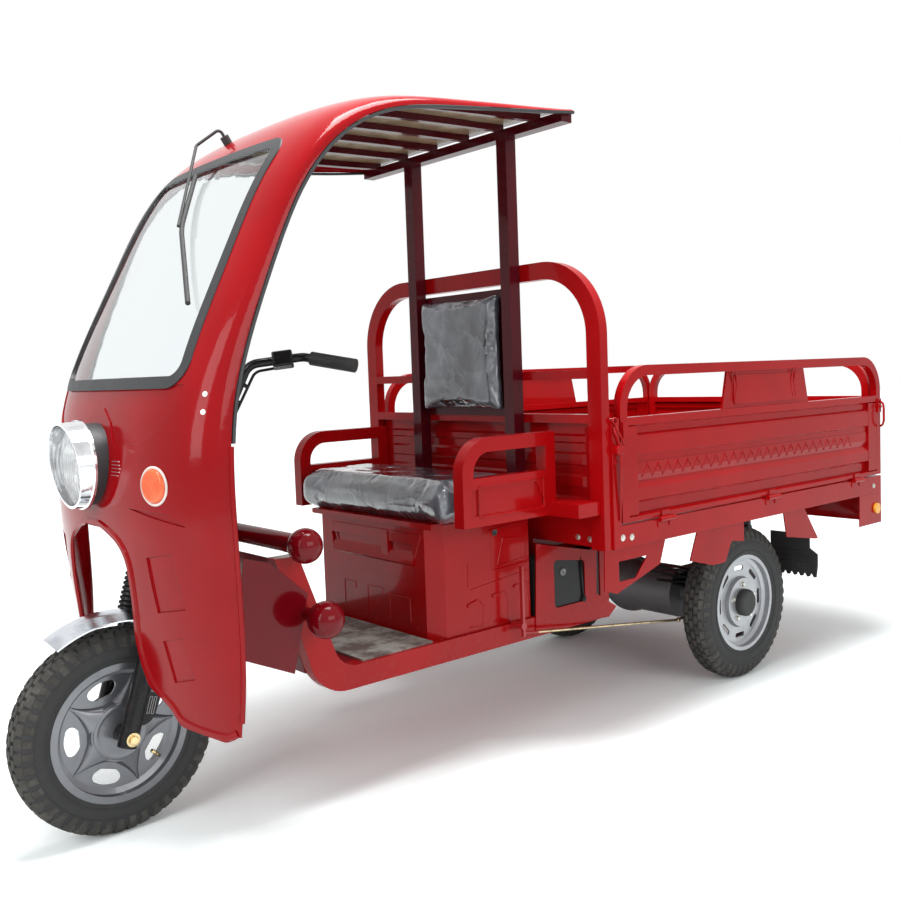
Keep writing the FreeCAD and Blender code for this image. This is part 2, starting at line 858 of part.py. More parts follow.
def build_fork():
    """Legs, lower crown, stem, top clamp and the riser that carries the bar."""
    spread = s.leg_half_spread
    leg_low = raked_rod(s.leg_low_radius, -s.leg_low_radius, s.leg_low_length, 0, spread)
    leg = raked_rod(s.leg_radius, 0, crown_top, 0, spread)
    crown_half = spread + s.leg_low_radius
    crown_back = s.fork_offset + s.clamp_half
    crown = raked_box(s.clamp_low, crown_top, crown_back, s.leg_low_radius, -crown_half,
                      crown_half)
    stem = raked_rod(s.stem_radius, s.clamp_low, stem_top, s.fork_offset)
    clamp = raked_box(stem_top - s.clamp_thick, stem_top, crown_back, 0, -s.top_clamp_half,
                      s.top_clamp_half)
    riser_foot = stem_top - s.clamp_thick / 2
    bar_x = front_x - s.bar_rise_behind
    bar_foot = s.bar_rise_z - s.bar_radius - s.seat_gap
    front = s.fork_offset - s.stem_radius
    rear = s.fork_offset + s.stem_radius
    riser = prism("XZ", [
        (rake_x(riser_foot, rear), rake_z(riser_foot, rear)),
        (rake_x(riser_foot, front), rake_z(riser_foot, front)),
        (bar_x + s.bar_radius, bar_foot),
        (bar_x - s.bar_radius, bar_foot),
    ], s.bar_clamp_y - s.bar_clamp_half, s.bar_clamp_y + s.bar_clamp_half)
    finish(fuse(both_sides(leg_low), both_sides(leg), crown, stem, clamp, both_sides(riser),
                *axle_pieces()), "fork")


def build_fork_springs():
    """The coils round each leg above its lower tube, as one ribbed sleeve."""
    bore = s.leg_radius + s.seat_gap
    pitch = (s.spring_top - s.spring_low) / s.coil_turns
    ridges = []
    for turn in range(int(s.coil_turns.number)):
        ridges.append((s.coil_root, pitch * turn))
        ridges.append((s.coil_radius, pitch * (turn + 1 / 4)))
        ridges.append((s.coil_radius, pitch * (turn + 3 / 4)))
    top = s.spring_top - s.spring_low
    sleeve = lathe("XZ", [(bore, 0), *ridges, (s.coil_root, top), (bore, top)], "V_Axis")
    finish(both_sides(raked(sleeve, s.spring_low, 0, s.leg_half_spread)), "fork_springs")


def axle_pieces():
    """The front axle with its spacers and the brake plate, held between the legs."""
    outer = s.leg_half_spread + s.leg_low_radius + s.rim_wall
    inner = s.leg_half_spread - s.leg_radius / 2
    clear = s.running_gap / 2
    hub_end = s.drum_half + s.disc_thick + clear
    plate_face = -s.drum_half - clear
    x = s.wheelbase
    z = s.front_tyre_radius
    return [
        rod("Y", s.axle_radius, outer * 2, x, -outer, z),
        rod("Y", s.axle_radius * 2, inner - hub_end, x, hub_end, z),
        rod("Y", s.axle_radius * 2, plate_face + inner, x, -inner, z),
        rod("Y", s.drum_radius, s.brake_plate_thick, x, plate_face - s.brake_plate_thick, z),
    ]


def build_front_mudguard():
    """A curved guard over the tyre, turned part of the way round the axle."""
    outer = s.guard_radius
    inner = s.guard_radius - s.guard_thick
    drop = s.guard_half / 3
    body = document.addObject("PartDesign::Body", "Guard")
    sketch = new_sketch(body, "XY")
    draw(sketch, [
        (inner - drop, -s.guard_half), (outer - drop, -s.guard_half),
        (outer, -s.guard_half + drop * 2, drop * 2), (outer, s.guard_half - drop * 2, drop * 2),
        (outer - drop, s.guard_half), (inner - drop, s.guard_half),
        (inner, s.guard_half - drop * 2, drop * 2), (inner, -s.guard_half + drop * 2, drop * 2),
    ])
    turning = body.newObject("PartDesign::Revolution", "Revolution")
    turning.Profile = sketch
    turning.ReferenceAxis = (sketch, ["V_Axis"])
    bind(turning, "Angle", s.guard_sweep_angle)
    body.Placement.Rotation = Rotation(
        Vector(0, 1, 0), -number(s.guard_start_angle + s.guard_sweep_angle))
    bind(body, "Placement.Base.x", s.wheelbase)
    bind(body, "Placement.Base.z", s.front_tyre_radius)
    plate = raked_box(s.leg_low_length, inner - drop, s.leg_radius, s.leg_radius,
                      s.guard_half - s.guard_thick, s.guard_half)
    foot = raked_box(s.leg_low_length, s.spring_low - s.seat_gap, s.leg_radius / 2,
                     s.leg_radius / 2, s.guard_half - s.guard_thick,
                     s.leg_half_spread - s.leg_radius - s.seat_gap)
    finish(fuse(body, both_sides(fuse(plate, foot))), "front_mudguard")


def point(x, y, z):
    return Vector(number(x), number(y), number(z))


def bar_points(side):
    return [
        point(front_x - s.bar_rise_behind, 0, s.bar_rise_z),
        point(front_x - s.bar_rise_behind, s.bar_mount_half * side, s.bar_rise_z),
        point(front_x - s.bar_lift_behind, s.bar_lift_half * side, s.bar_lift_z),
        point(front_x - s.bar_grip_behind, s.bar_grip_half * side, s.bar_grip_z),
        point(front_x - s.bar_end_behind, s.bar_end_half * side, s.bar_end_z),
    ]


def switch_box():
    """The switch housing on the left of the bar with its three toggles."""
    lift, grip = bar_points(1)[2:4]
    along = (grip - lift).normalize()
    long = number(s.switch_long)
    tall = number(s.switch_tall)
    deep = number(s.switch_deep)
    turn = Rotation(Vector(1, 0, 0), along)
    housing = Part.makeBox(long, deep, tall, Vector(-long / 2, -deep / 2, -tall / 2))
    housing = housing.makeFillet(number(s.switch_bend), housing.Edges)
    reach = number(s.toggle_reach)
    half = number(s.toggle_half)
    for share in (-1, 0, 1):
        toggle = Part.makeBox(half * 2, deep / 2 + reach, half * 2,
                              Vector(share * long / 4 - half, 0, -half))
        housing = housing.fuse(toggle)
    housing.Placement = FreeCAD.Placement(grip - along * long, turn)
    return housing


def bar_cable():
    """The cable from the switch housing, tied along the inside of the bar."""
    rise, mount, lift, grip = bar_points(1)[:4]
    behind = Vector(-number(s.cable_set), 0, 0)
    below = Vector(0, 0, -number(s.cable_set))
    start = lift + (grip - lift) * (1 / 2) + below
    path = [start, lift + behind + below, mount + behind, rise + behind]
    tube = round_tube(path, number(s.cable_bend), number(s.cable_radius))
    ties = []
    for share in (1 / 4, 2 / 4, 3 / 4):
        held = mount + (lift - mount) * share
        tied = path[2] + (path[1] - path[2]) * share
        ties.append(Part.makeCylinder(number(s.toggle_half), (tied - held).Length, held,
                                      tied - held))
    return [tube, *ties]


def build_handlebar():
    left = bar_points(1)
    whole = list(reversed(bar_points(-1)[1:])) + left[1:]
    bar = round_tube(whole, number(s.bar_bend), number(s.bar_radius))
    bar = bar.fuse([switch_box(), *bar_cable()])
    finish(by_code(bar), "handlebar")
    grips = []
    for side in LEFT_AND_RIGHT:
        points = bar_points(side)
        along = (points[-1] - points[-2]).normalize()
        end = points[-1] + along * number(s.rim_wall)
        start = end - along * number(s.grip_length)
        sleeve = Part.makeCylinder(number(s.grip_radius), number(s.grip_length), start, along)
        core = Part.makeCylinder(number(s.bar_radius), number(s.grip_length) - number(s.rim_wall),
                                 start, along)
        grips.append(sleeve.cut(core))
    finish(by_code(Part.makeCompound(grips)), "handlebar_grips")


# Cab: one moulded shell from the hem of the wings over the nose, windscreen and roof.
CAB_STATIONS = ("hem", "wing", "nose", "brow", "screen", "lintel", "front_roof")
ROOF_STATIONS = ("mid_roof", "back_roof", "rear_roof")
SECTION_STEPS = 16
SECTION_COUNT = 19


class CabForm:
    """The shell's sections, spaced along smooth lines through the named stations."""

    def __init__(self):
        spots = [Vector(number(front_x) + float(sheet.get(f"{name}_ahead")), 0,
                        float(sheet.get(f"{name}_z"))) for name in CAB_STATIONS]
        spots += [Vector(float(sheet.get(f"{name}_x")), 0, float(sheet.get(f"{name}_z")))
                  for name in ROOF_STATIONS]
        line = Part.BSplineCurve()
        line.interpolate(spots)
        spread = Part.BSplineCurve()
        spread.interpolate(
            Points=[Vector(*(float(sheet.get(f"{name}_{part}"))
                             for part in ("half", "depth", "fullness")))
                    for name in CAB_STATIONS + ROOF_STATIONS],
            Parameters=[line.parameter(spot) for spot in spots])
        self.sections = []
        for step in range(SECTION_COUNT):
            place = line.FirstParameter + (
                line.LastParameter - line.FirstParameter) * step / (SECTION_COUNT - 1)
            run = line.tangent(place)[0]
            if run.z < 0 and step == 0:
                run = -run
            self.sections.append((line.value(place), Vector(-run.z, 0, run.x),
                                  *spread.value(place)))
        self.line = line
        self.spread = spread

    def spot_at(self, height, across, stand):
        """A point standing off the outer face, at a height of its middle line and a width."""
        low, high = self.line.FirstParameter, self.line.LastParameter
        while high - low > (self.line.LastParameter - self.line.FirstParameter) / 2 ** 20:
            middle = (low + high) / 2
            if self.line.value(middle).z < height:
                low = middle
            else:
                high = middle
        run = self.line.tangent(low)[0]
        outward = Vector(run.z, 0, -run.x)
        half, depth, fullness = self.spread.value(low)
        drop = depth * (1 - self.rise(across / half, fullness))
        return self.line.value(low) + outward * (stand - drop) + Vector(0, across, 0)

    def rise(self, share, fullness):
        """The height of a section, as a share of its depth, at a share of its half width."""
        return max(0.0, 1 - abs(share) ** fullness) ** (1 / fullness)

    def spot(self, place, share, inset, extra=0.0):
        """A point of one section: share of the half width, at an inset from the outer face."""
        centre, inward, half, depth, fullness = self.sections[place]
        drop = inset + (depth - inset) * (1 - self.rise(share, fullness)) + extra
        return centre + inward * drop + Vector(0, (half - inset) * share, 0)

    def arc(self, place, inset):
        """The section's curve at an inset, from the right edge to the left one."""
        fullness = self.sections[place][-1]
        spots = []
        for step in range(SECTION_STEPS + 1):
            turn = math.pi * (step / SECTION_STEPS - 1 / 2)
            sign = math.copysign(1, turn)
            spots.append(self.spot(place, sign * abs(math.sin(turn)) ** (2 / fullness), inset))
        curve = Part.BSplineCurve()
        curve.interpolate(spots)
        return curve.toShape(), spots

    def shell(self, outer_inset, inner_inset):
        """A wall between two insets, lofted through the sections."""
        wires = []
        for place in range(SECTION_COUNT):
            outer, outer_spots = self.arc(place, outer_inset)
            inner, inner_spots = self.arc(place, inner_inset)
            edges = [outer, Part.LineSegment(outer_spots[-1], inner_spots[-1]).toShape(),
                     inner, Part.LineSegment(inner_spots[0], outer_spots[0]).toShape()]
            wires.append(Part.Wire(Part.__sortEdges__(edges)))
        return Part.makeLoft(wires, True, False)

    def solid(self, inset):
        """The space under the outer face, closed by flat planes at the open side."""
        wires = []
        for place in range(SECTION_COUNT):
            outer, spots = self.arc(place, inset)
            wires.append(Part.Wire([outer, Part.LineSegment(spots[-1], spots[0]).toShape()]))
        return Part.makeLoft(wires, True, False)

    def bar(self, corners):
        """A bar along all sections; corners gives its outline at one section."""
        wires = []
        for place in range(SECTION_COUNT):
            outline = corners(place)
            wires.append(Part.makePolygon(outline + outline[:1]))
        return Part.makeLoft(wires, True, False)


form = CabForm()


def rounded_outline(points, bend):
    """A closed wire through points with each corner rounded by an arc."""
    edges = []
    count = len(points)
    ends = []
    for place in range(count):
        before, corner, after = points[place - 1], points[place], points[(place + 1) % count]
        into = (corner - before).normalize()
        out = (after - corner).normalize()
        half_turn = into.getAngle(out) / 2
        trim = bend * math.tan(half_turn)
        middle = corner + (out - into).normalize() * (bend / math.cos(half_turn) - bend)
        ends.append((corner - into * trim, middle, corner + out * trim))
    for place in range(count):
        first, middle, last = ends[place]
        edges.append(Part.Arc(first, middle, last).toShape())
        edges.append(Part.LineSegment(last, ends[(place + 1) % count][0]).toShape())
    return Part.Wire(edges)


def mirrored(points):
    """An outline seen from the front, from its left half given top to bottom or bottom to top."""
    return points + [Vector(0, -spot.y, spot.z) for spot in reversed(points)]


def forward_prism(outline):
    """A block through the front of the shell, its outline seen from the front."""
    reach = number(s.nose_depth) + number(s.overrun) * 2
    face = Part.Face(outline)
    face.translate(Vector(number(nose_x) - reach, 0, 0))
    return face.extrude(Vector(reach + number(s.overrun) * 2, 0, 0))


def arch_outline():
    """The opening for the front wheel with the hem beside it."""
    names = ("top", "brow", "side", "waist", "knee", "foot", "tip", "hem", "corner")
    points = [Vector(0, float(sheet.get(f"arch_{name}_half")), float(sheet.get(f"arch_{name}_z")))
              for name in names]
    far = points[-1].y + number(s.overrun)
    points.append(Vector(0, far, number(s.hem_z) - number(s.hem_depth)))
    return rounded_outline(mirrored(points), number(s.arch_bend))


def screen_outline(margin):
    """The windscreen's rounded trapezium, larger by a margin, on a plane through its corners."""
    low = Vector(0, number(s.glass_low_half), number(s.glass_low_z))
    top = Vector(0, number(s.glass_top_half), number(s.glass_top_z))
    points = [
        Vector(0, low.y + margin, low.z - margin), Vector(0, top.y + margin, top.z + margin),
        Vector(0, -top.y - margin, top.z + margin), Vector(0, -low.y - margin, low.z - margin),
    ]
    return rounded_outline(points, number(s.glass_bend) + margin)


def screen_cutter(margin):
    """A prism through the windscreen opening."""
    face = Part.Face(screen_outline(margin))
    run = Vector(number(nose_x - front_roof_x) + number(s.overrun) * 2, 0, 0)
    face.translate(Vector(number(front_roof_x) - number(s.overrun), 0, 0))
    return face.extrude(run)


def block(x0, x1, half, z0, z1):
    """A plain block across the vehicle, for trimming what is lofted."""
    return Part.makeBox(x1 - x0, half * 2, z1 - z0, Vector(x0, -half, z0))


def recess_outlines(margin):
    """The two sunk panels and the pointed ledge on each wing, larger by a margin."""
    outlines = []
    for name in ("upper", "lower"):
        inner, outer, low, top = (float(sheet.get(f"{name}_pocket_{part}"))
                                  for part in ("inner", "outer", "low_z", "top_z"))
        slant = number(s.arch_bend) / 2
        outlines.append([Vector(0, inner - margin, top - slant + margin),
                         Vector(0, outer - slant + margin, top + margin),
                         Vector(0, outer + margin, low + slant - margin),
                         Vector(0, inner + slant - margin, low - margin)])
    outlines.append([point(0, s.ledge_tip_half - margin * 2, s.ledge_tip_z + margin),
                     point(0, s.ledge_back_half, s.ledge_back_z + margin),
                     point(0, s.ledge_end_half + margin, s.ledge_end_z),
                     point(0, s.ledge_end_half - margin, s.ledge_end_z - margin),
                     point(0, s.ledge_tip_half + margin, s.ledge_tip_z - margin * 3)])
    return outlines


def recess_prisms(margin):
    prisms = []
    for outline in recess_outlines(margin):
        for side in LEFT_AND_RIGHT:
            corners = [Vector(0, spot.y * side, spot.z) for spot in outline]
            prisms.append(forward_prism(Part.makePolygon(corners + corners[:1])))
    return Part.makeCompound(prisms)


def crease_prism(margin):
    """The panel under the windscreen, with the arched brow over the lamp left standing."""
    names = ("top", "side", "turn", "low", "lamp", "eye", "peak")
    points = [Vector(0, float(sheet.get(f"crease_{name}_half")) + margin,
                     float(sheet.get(f"crease_{name}_z")) - margin) for name in names]
    points[0].z = float(sheet.get("crease_top_z"))
    outline = mirrored(points)
    return forward_prism(Part.makePolygon(outline + outline[:1]))


def edge_beads():
    """A rolled bead down each outer edge of the shell, from the brow to the hem."""
    sides = 8
    beads = []
    for side in LEFT_AND_RIGHT:
        def corners(place):
            edge = form.spot(place, side, 0.0)
            inward = form.sections[place][1] * number(s.bead_radius)
            across = Vector(0, number(s.bead_radius), 0)
            turns = [math.tau * (step + 1 / 2) / sides for step in range(sides)]
            return [edge + inward * math.cos(turn) + across * math.sin(turn) for turn in turns]
        beads.append(form.bar(corners))
    low = number(s.arch_corner_z) + number(s.bead_radius)
    space = block(0.0, number(nose_x), number(s.nose_half) * 2, low, number(s.bead_top_z))
    return Part.makeCompound(beads).common(space)


def build_cab():
    wall = number(s.cab_wall)
    deep = number(s.recess_deep)
    step = number(s.crease_deep)
    opening = forward_prism(arch_outline())
    pans = form.shell(wall / 2, wall + deep).common(recess_prisms(wall))
    brow = form.shell(wall / 2, wall + step).common(crease_prism(wall))
    shell = form.shell(0.0, wall).cut(opening).fuse([pans, brow, edge_beads()])
    lamp = Vector(number(nose_x) - number(s.nose_depth), 0, number(s.lamp_z))
    bore = Part.makeCylinder(number(s.lamp_body_radius) + number(s.seat_gap),
                             number(s.nose_depth) * 2, lamp, Vector(1, 0, 0))
    sunk = form.shell(-wall, deep).common(recess_prisms(0.0))
    creased = form.shell(-wall, step).common(crease_prism(0.0))
    shell = shell.cut([sunk, creased, bore, screen_cutter(0.0)])
    finish(by_code(shell.removeSplitter()), "cab_shell")
    gap = number(s.seat_gap)
    glass_in = wall + number(s.glass_thick)
    pane = form.shell(wall + gap, glass_in).common(screen_cutter(-number(s.seal_lap) * 3))
    finish(by_code(pane), "windscreen_glass")
    lap = number(s.seal_lap)
    band = form.shell(-lap, glass_in).common(screen_cutter(number(s.seal_width)))
    seal = band.cut(screen_cutter(-lap * 3 - gap)).cut(shell)
    finish(by_code(seal.removeSplitter()), "windscreen_seal")


def build_cab_trim():
    """A rubber strip along the shell's free edge, and the rubber seat behind the headlamp."""
    lap = number(s.trim_lap)
    pieces = []
    for side in LEFT_AND_RIGHT:
        def corners(place):
            edge = form.spot(place, side, 0.0)
            inward = form.sections[place][1]
            inner = edge - Vector(0, side * (number(s.cab_wall) + lap), 0)
            outer = edge + Vector(0, side * lap, 0)
            near = inward * number(s.trim_gap)
            far = inward * (number(s.trim_gap) + number(s.trim_thick))
            return [inner + near, outer + near, outer + far, inner + far]
        pieces.append(form.bar(corners))
    low = number(s.bead_top_z) + number(s.bead_radius)
    above = block(number(s.hoop_front_x) - number(s.overrun), number(s.wheelbase) * 2,
                  number(s.wheelbase), low, number(s.wheelbase))
    strips = Part.makeCompound(pieces).common(above)
    start = point(front_x + s.lamp_flange_ahead - s.lamp_seat_deep, 0, s.lamp_z)
    ahead = Vector(1, 0, 0)
    deep = number(s.lamp_seat_deep) - number(s.seat_gap)
    seat = Part.makeCylinder(number(s.lamp_seat_radius), deep, start, ahead)
    bore = Part.makeCylinder(number(s.lamp_body_radius + s.seat_gap), deep, start, ahead)
    seat = seat.cut(bore).cut(form.solid(-number(s.seat_gap)))
    finish(by_code(Part.makeCompound([*strips.Solids, *seat.Solids])), "cab_edge_trim")


def build_lamps():
    flange = front_x + s.lamp_flange_ahead
    front = front_x + s.lamp_front_ahead
    visor = front + s.lamp_visor
    ring = lathe("XZ", [
        (flange, s.lamp_body_radius),
        (flange, s.lamp_radius + s.seal_lap),
        (flange + s.lamp_flange_thick, s.lamp_radius + s.seal_lap, s.lamp_flange_thick / 3),
        (flange + s.lamp_flange_thick, s.lamp_radius),
        (visor, s.lamp_radius - s.seal_lap),
        (visor, s.lamp_radius - s.seal_lap - s.lamp_ring_wall),
        (flange + s.lamp_flange_thick, s.lamp_radius - s.seal_lap - s.lamp_ring_wall),
        (flange, s.lamp_body_radius - s.lamp_ring_wall),
        (flange - s.lamp_body_deep + s.lamp_flange_thick, s.lamp_body_radius / 2),
        (flange - s.lamp_body_deep + s.lamp_flange_thick, 0),
        (flange - s.lamp_body_deep, 0),
        (flange - s.lamp_body_deep, s.lamp_body_radius / 2),
    ], "H_Axis")
    far = s.lamp_radius * 2
    slant = prism("XZ", [
        (visor, s.lamp_radius), (front, -s.lamp_radius), (front, -far), (visor + far, -far),
        (visor + far, far), (visor, far),
    ], -far, far)
    finish(cut(ring, slant), "headlamp", 0, 0, s.lamp_z)
    lens_radius = s.lamp_radius - s.seal_lap - s.lamp_ring_wall - s.seat_gap
    lens_back = front - s.lens_dome - s.lens_edge
    lens = lathe("XZ", [
        (lens_back, 0),
        (lens_back, lens_radius),
        (lens_back + s.lens_edge, lens_radius),
        (front, lens_radius / 2, s.lens_dome * 3),
        (front, 0),
    ], "H_Axis")
    finish(lens, "headlamp_lens", 0, 0, s.lamp_z)
    turn = math.radians(number(s.signal_turn_angle))
    pods = []
    inside = form.solid(-number(s.seat_gap))
    for side in LEFT_AND_RIGHT:
        facing = Vector(math.cos(turn), side * math.sin(turn), 0)
        middle = point(front_x + s.signal_ahead, s.signal_y * side, s.signal_z)
        root = number(s.signal_root)
        pod = Part.makeCylinder(number(s.signal_radius), root + number(s.signal_bezel),
                                middle - facing * root, facing)
        thick = number(s.signal_lens_thick)
        dome = Part.makeCylinder(number(s.signal_lens_radius), thick, middle, facing)
        rim = [edge for edge in dome.Edges
               if (edge.BoundBox.Center - middle - facing * thick).Length < thick / 2]
        dome = dome.makeFillet(number(s.signal_lens_bend), rim)
        pods.append(pod.fuse(dome).cut(inside))
    finish(by_code(Part.makeCompound(pods)), "turn_signals")


def build_roof_frame():
    """Ribs under the roof, a rear cross member and the two posts behind the rider."""
    gap = number(s.seat_gap)
    liner_face = number(s.cab_wall) + gap + number(s.liner_thick)
    half_roof = number(s.mid_roof_half)
    rib_share = number(s.roof_rib_half) / half_roof
    pieces = []
    for count in (-2.5, -1.5, -0.5, 0.5, 1.5, 2.5):
        middle = count * number(s.roof_rib_pitch) / half_roof
        def corners(place):
            top = liner_face + gap
            deep = number(s.roof_rib_deep)
            return [form.spot(place, middle - rib_share, top),
                    form.spot(place, middle + rib_share, top),
                    form.spot(place, middle + rib_share, top, deep),
                    form.spot(place, middle - rib_share, top, deep)]
        pieces.append(form.bar(corners))
    rear_x = s.hoop_front_x + s.seat_gap
    beam_front = rear_x + s.post_wide + s.seat_gap
    space = block(number(beam_front), number(front_roof_x), half_roof, number(s.lintel_z),
                  number(s.rear_roof_z) * 2)
    finish(by_code(Part.makeCompound(pieces).common(space)), "roof_ribs")
    liner = form.shell(number(s.cab_wall) + gap, liner_face)
    finish(by_code(liner.common(block(number(beam_front), number(front_roof_x),
                                      half_roof - number(s.overrun) * 2, number(s.lintel_z),
                                      number(s.rear_roof_z) * 2))), "roof_liner")
    beam_half = s.rear_roof_half - s.cab_wall * 3
    beam_top = s.rear_roof_z - s.rear_roof_depth - s.cab_wall - s.seat_gap
    beam_low = beam_top - s.roof_beam_tall
    beam = cut(box(rear_x, rear_x + s.post_wide, -beam_half, beam_half, beam_low, beam_top),
               by_code(form.shell(-number(s.overrun), number(s.cab_wall) + gap)))
    post = box(rear_x, rear_x + s.post_wide, s.post_half - s.post_wide / 2,
               s.post_half + s.post_wide / 2, s.post_low_z, beam_top)
    board = box(rear_x, rear_x + s.back_board, -s.post_half, s.post_half, s.back_low_z,
                s.back_top_z)
    finish(fuse(beam, both_sides(post), board), "roof_posts")


def build_wiper():
    """A spindle in the header, an elbowed arm and the blade, standing off the glass."""
    radius = number(s.wiper_arm_radius)
    stand = number(s.wiper_stand)
    rest = number(s.blade_stand)

    def spot(name, height):
        return form.spot_at(float(sheet.get(f"{name}_z")), float(sheet.get(f"{name}_y")), height)

    base = spot("wiper_pivot", number(s.seat_gap))
    tip = spot("wiper_pivot", stand)
    joint = spot("wiper_joint", rest + radius * 2)
    arm = round_tube([base, tip, spot("wiper_elbow", stand), joint], number(s.wiper_bend), radius)
    boss = Part.makeCylinder(radius * 3, stand / 2, base, tip - base)
    blade = round_tube([spot("blade_top", rest), spot("wiper_joint", rest),
                        spot("blade_low", rest)], number(s.blade_bend), radius * 3 / 2)
    finish(by_code(boss.fuse([arm, blade])), "wiper")


# Frame: rails under the floor and the bed, the front bulkhead and the head tube.
def rail_outline():
    low = s.rail_low_z
    return [
        (s.rail_rear_x, low),
        (toe_x, low, s.rail_toe_bend),
        (head_x, s.rail_head_z),
        (head_x - s.rail_slope_wide, s.rail_head_z),
        (toe_x - s.rail_slope_wide, low + s.rail_tall, s.rail_inner_bend),
        (s.rail_rear_x, low + s.rail_tall),
    ]


def build_main_frame():
    inner = s.rail_half - s.rail_wide
    side_rail = prism("XZ", rail_outline(), inner, s.rail_half)
    upper_low = s.bed_low_z - s.upper_rail_tall
    upper = box(s.bed_rear_x + s.bed_beam, s.bed_front_x, s.upper_rail_half - s.upper_rail_wide,
                s.upper_rail_half, upper_low, s.bed_low_z)
    riser = box(s.rail_rear_x, s.rail_rear_x + s.rail_wide, inner, s.rail_half,
                s.rail_low_z + s.rail_tall, s.bed_low_z)
    rear_cross = box(s.rail_rear_x, s.rail_rear_x + s.rail_wide, -inner, inner,
                     upper_low, s.bed_low_z)
    floor = box(s.rail_rear_x, toe_x - s.rail_slope_wide - s.rail_inner_bend, -inner, inner,
                s.rail_low_z + s.rail_tall - s.floor_plate_thick, s.rail_low_z + s.rail_tall)
    plate = prism("XZ", [
        (s.side_plate_front_x, s.side_plate_front_z),
        (s.side_plate_top_x, s.bed_low_z - s.seat_gap),
        (s.side_plate_step_x, s.side_plate_step_z),
        (s.side_plate_waist_x, s.side_plate_waist_z),
        (s.side_plate_toe_x, s.side_plate_toe_z),
        (s.side_plate_heel_x, s.rail_low_z),
    ], s.rail_half, s.rail_half + s.side_plate_thick, holes=[[
        (s.side_window_front_x, s.side_window_low_z, s.side_window_bend),
        (s.side_window_front_x, s.side_window_top_z, s.side_window_bend),
        (s.side_window_rear_x, s.side_window_top_z - s.rail_wide / 2, s.side_window_bend),
        (s.side_window_rear_x, s.side_window_low_z, s.side_window_bend),
    ]])
    finish(fuse(both_sides(side_rail), both_sides(upper), both_sides(riser), rear_cross, floor,
                both_sides(plate)), "main_frame")


def build_bulkhead():
    """A sloping plate between the rails with the head tube and its gusset."""
    inner = s.rail_half - s.rail_wide - s.seat_gap
    low = s.rail_low_z + s.rail_tall
    thick = s.bulkhead_thick
    slope_x = (head_x - toe_x) / (s.rail_head_z - s.rail_low_z)
    low_x = toe_x + slope_x * s.rail_tall
    plate = prism("XZ", [
        (toe_x - s.rail_slope_wide - s.rail_inner_bend, low),
        (toe_x - s.rail_slope_wide - s.rail_inner_bend, low - thick),
        (low_x, low - thick),
        (head_x, s.rail_head_z),
        (head_x - thick, s.rail_head_z),
        (low_x - thick, low),
    ], -inner, inner)
    gusset_foot = head_x - s.rail_tall / 2
    reach = head_top - head_low
    gusset_low = head_low + reach / 4
    gusset_high = head_low + reach * 3 / 4
    gusset = prism("XZ", [
        (gusset_foot, s.rail_head_z - s.rail_tall),
        (rake_x(gusset_low, s.fork_offset), rake_z(gusset_low, s.fork_offset)),
        (rake_x(gusset_high, s.fork_offset), rake_z(gusset_high, s.fork_offset)),
        (gusset_foot, s.rail_head_z),
    ], -s.head_gusset_half, s.head_gusset_half)
    head = raked_rod(s.head_radius, head_low, head_top, s.fork_offset)
    bore = raked_rod(s.stem_radius + s.bearing_gap, head_low - s.overrun, head_top + s.overrun,
                     s.fork_offset)
    side_y = s.rail_half + s.seat_gap
    wing = prism("XZ", [
        (front_x - s.wing_plate_high_behind, s.wing_plate_high_z),
        (front_x - s.wing_plate_front_behind, s.wing_plate_front_z),
        (front_x - s.wing_plate_nose_behind, s.wing_plate_nose_z),
        (front_x - s.wing_plate_low_behind, s.wing_plate_low_z),
        (front_x - s.wing_plate_back_behind, s.wing_plate_back_z),
    ], side_y, side_y + s.wing_plate_thick)
    finish(cut(fuse(plate, gusset, head, both_sides(wing), *cross_tubes()), bore),
           "front_bulkhead")


def cross_tubes():
    """The long tube with its ball ends, and the short stubs below it with theirs."""
    tube_x = front_x - s.cross_tube_behind
    low_x = front_x - s.low_ball_behind
    long_tube = rod("Y", s.cross_tube_radius, s.cross_ball_y * 2, tube_x,
                    -s.cross_ball_y, s.cross_tube_z)
    balls = both_sides(ball(s.cross_ball_radius, tube_x, s.cross_ball_y, s.cross_tube_z))
    stub_start = s.rail_half + s.seat_gap
    stub = rod("Y", s.low_stub_radius, s.low_ball_y - stub_start, low_x, stub_start,
               s.low_ball_z)
    low = both_sides(fuse(stub, ball(s.low_ball_radius, low_x, s.low_ball_y, s.low_ball_z)))
    return [long_tube, balls, low]


def build_floor_mat():
    inner = s.rail_half - s.mat_inset
    top = s.rail_low_z + s.rail_tall + s.seat_gap
    front = toe_x - s.rail_slope_wide - s.rail_inner_bend
    rear = s.box_front_x + s.mat_inset
    finish(prism("XZ", [(rear, top), (front, top), (front, top + s.mat_thick),
                        (rear, top + s.mat_thick)], -inner, inner), "floor_mat")


# Seat: the steel box, the lid with its cushion, the armrests and the backrest.
def box_outline(wall):
    """The seat box seen from above, its front corners cut off, inset by a wall."""
    half = s.box_half - wall
    front = s.box_front_x - wall
    side = s.box_front_x - s.box_corner - wall / 2
    face = s.box_half - s.box_corner - wall / 2
    rear = s.box_rear_x + wall
    return [(rear, -half), (side, -half), (front, -face), (front, face), (side, half),
            (rear, half)]


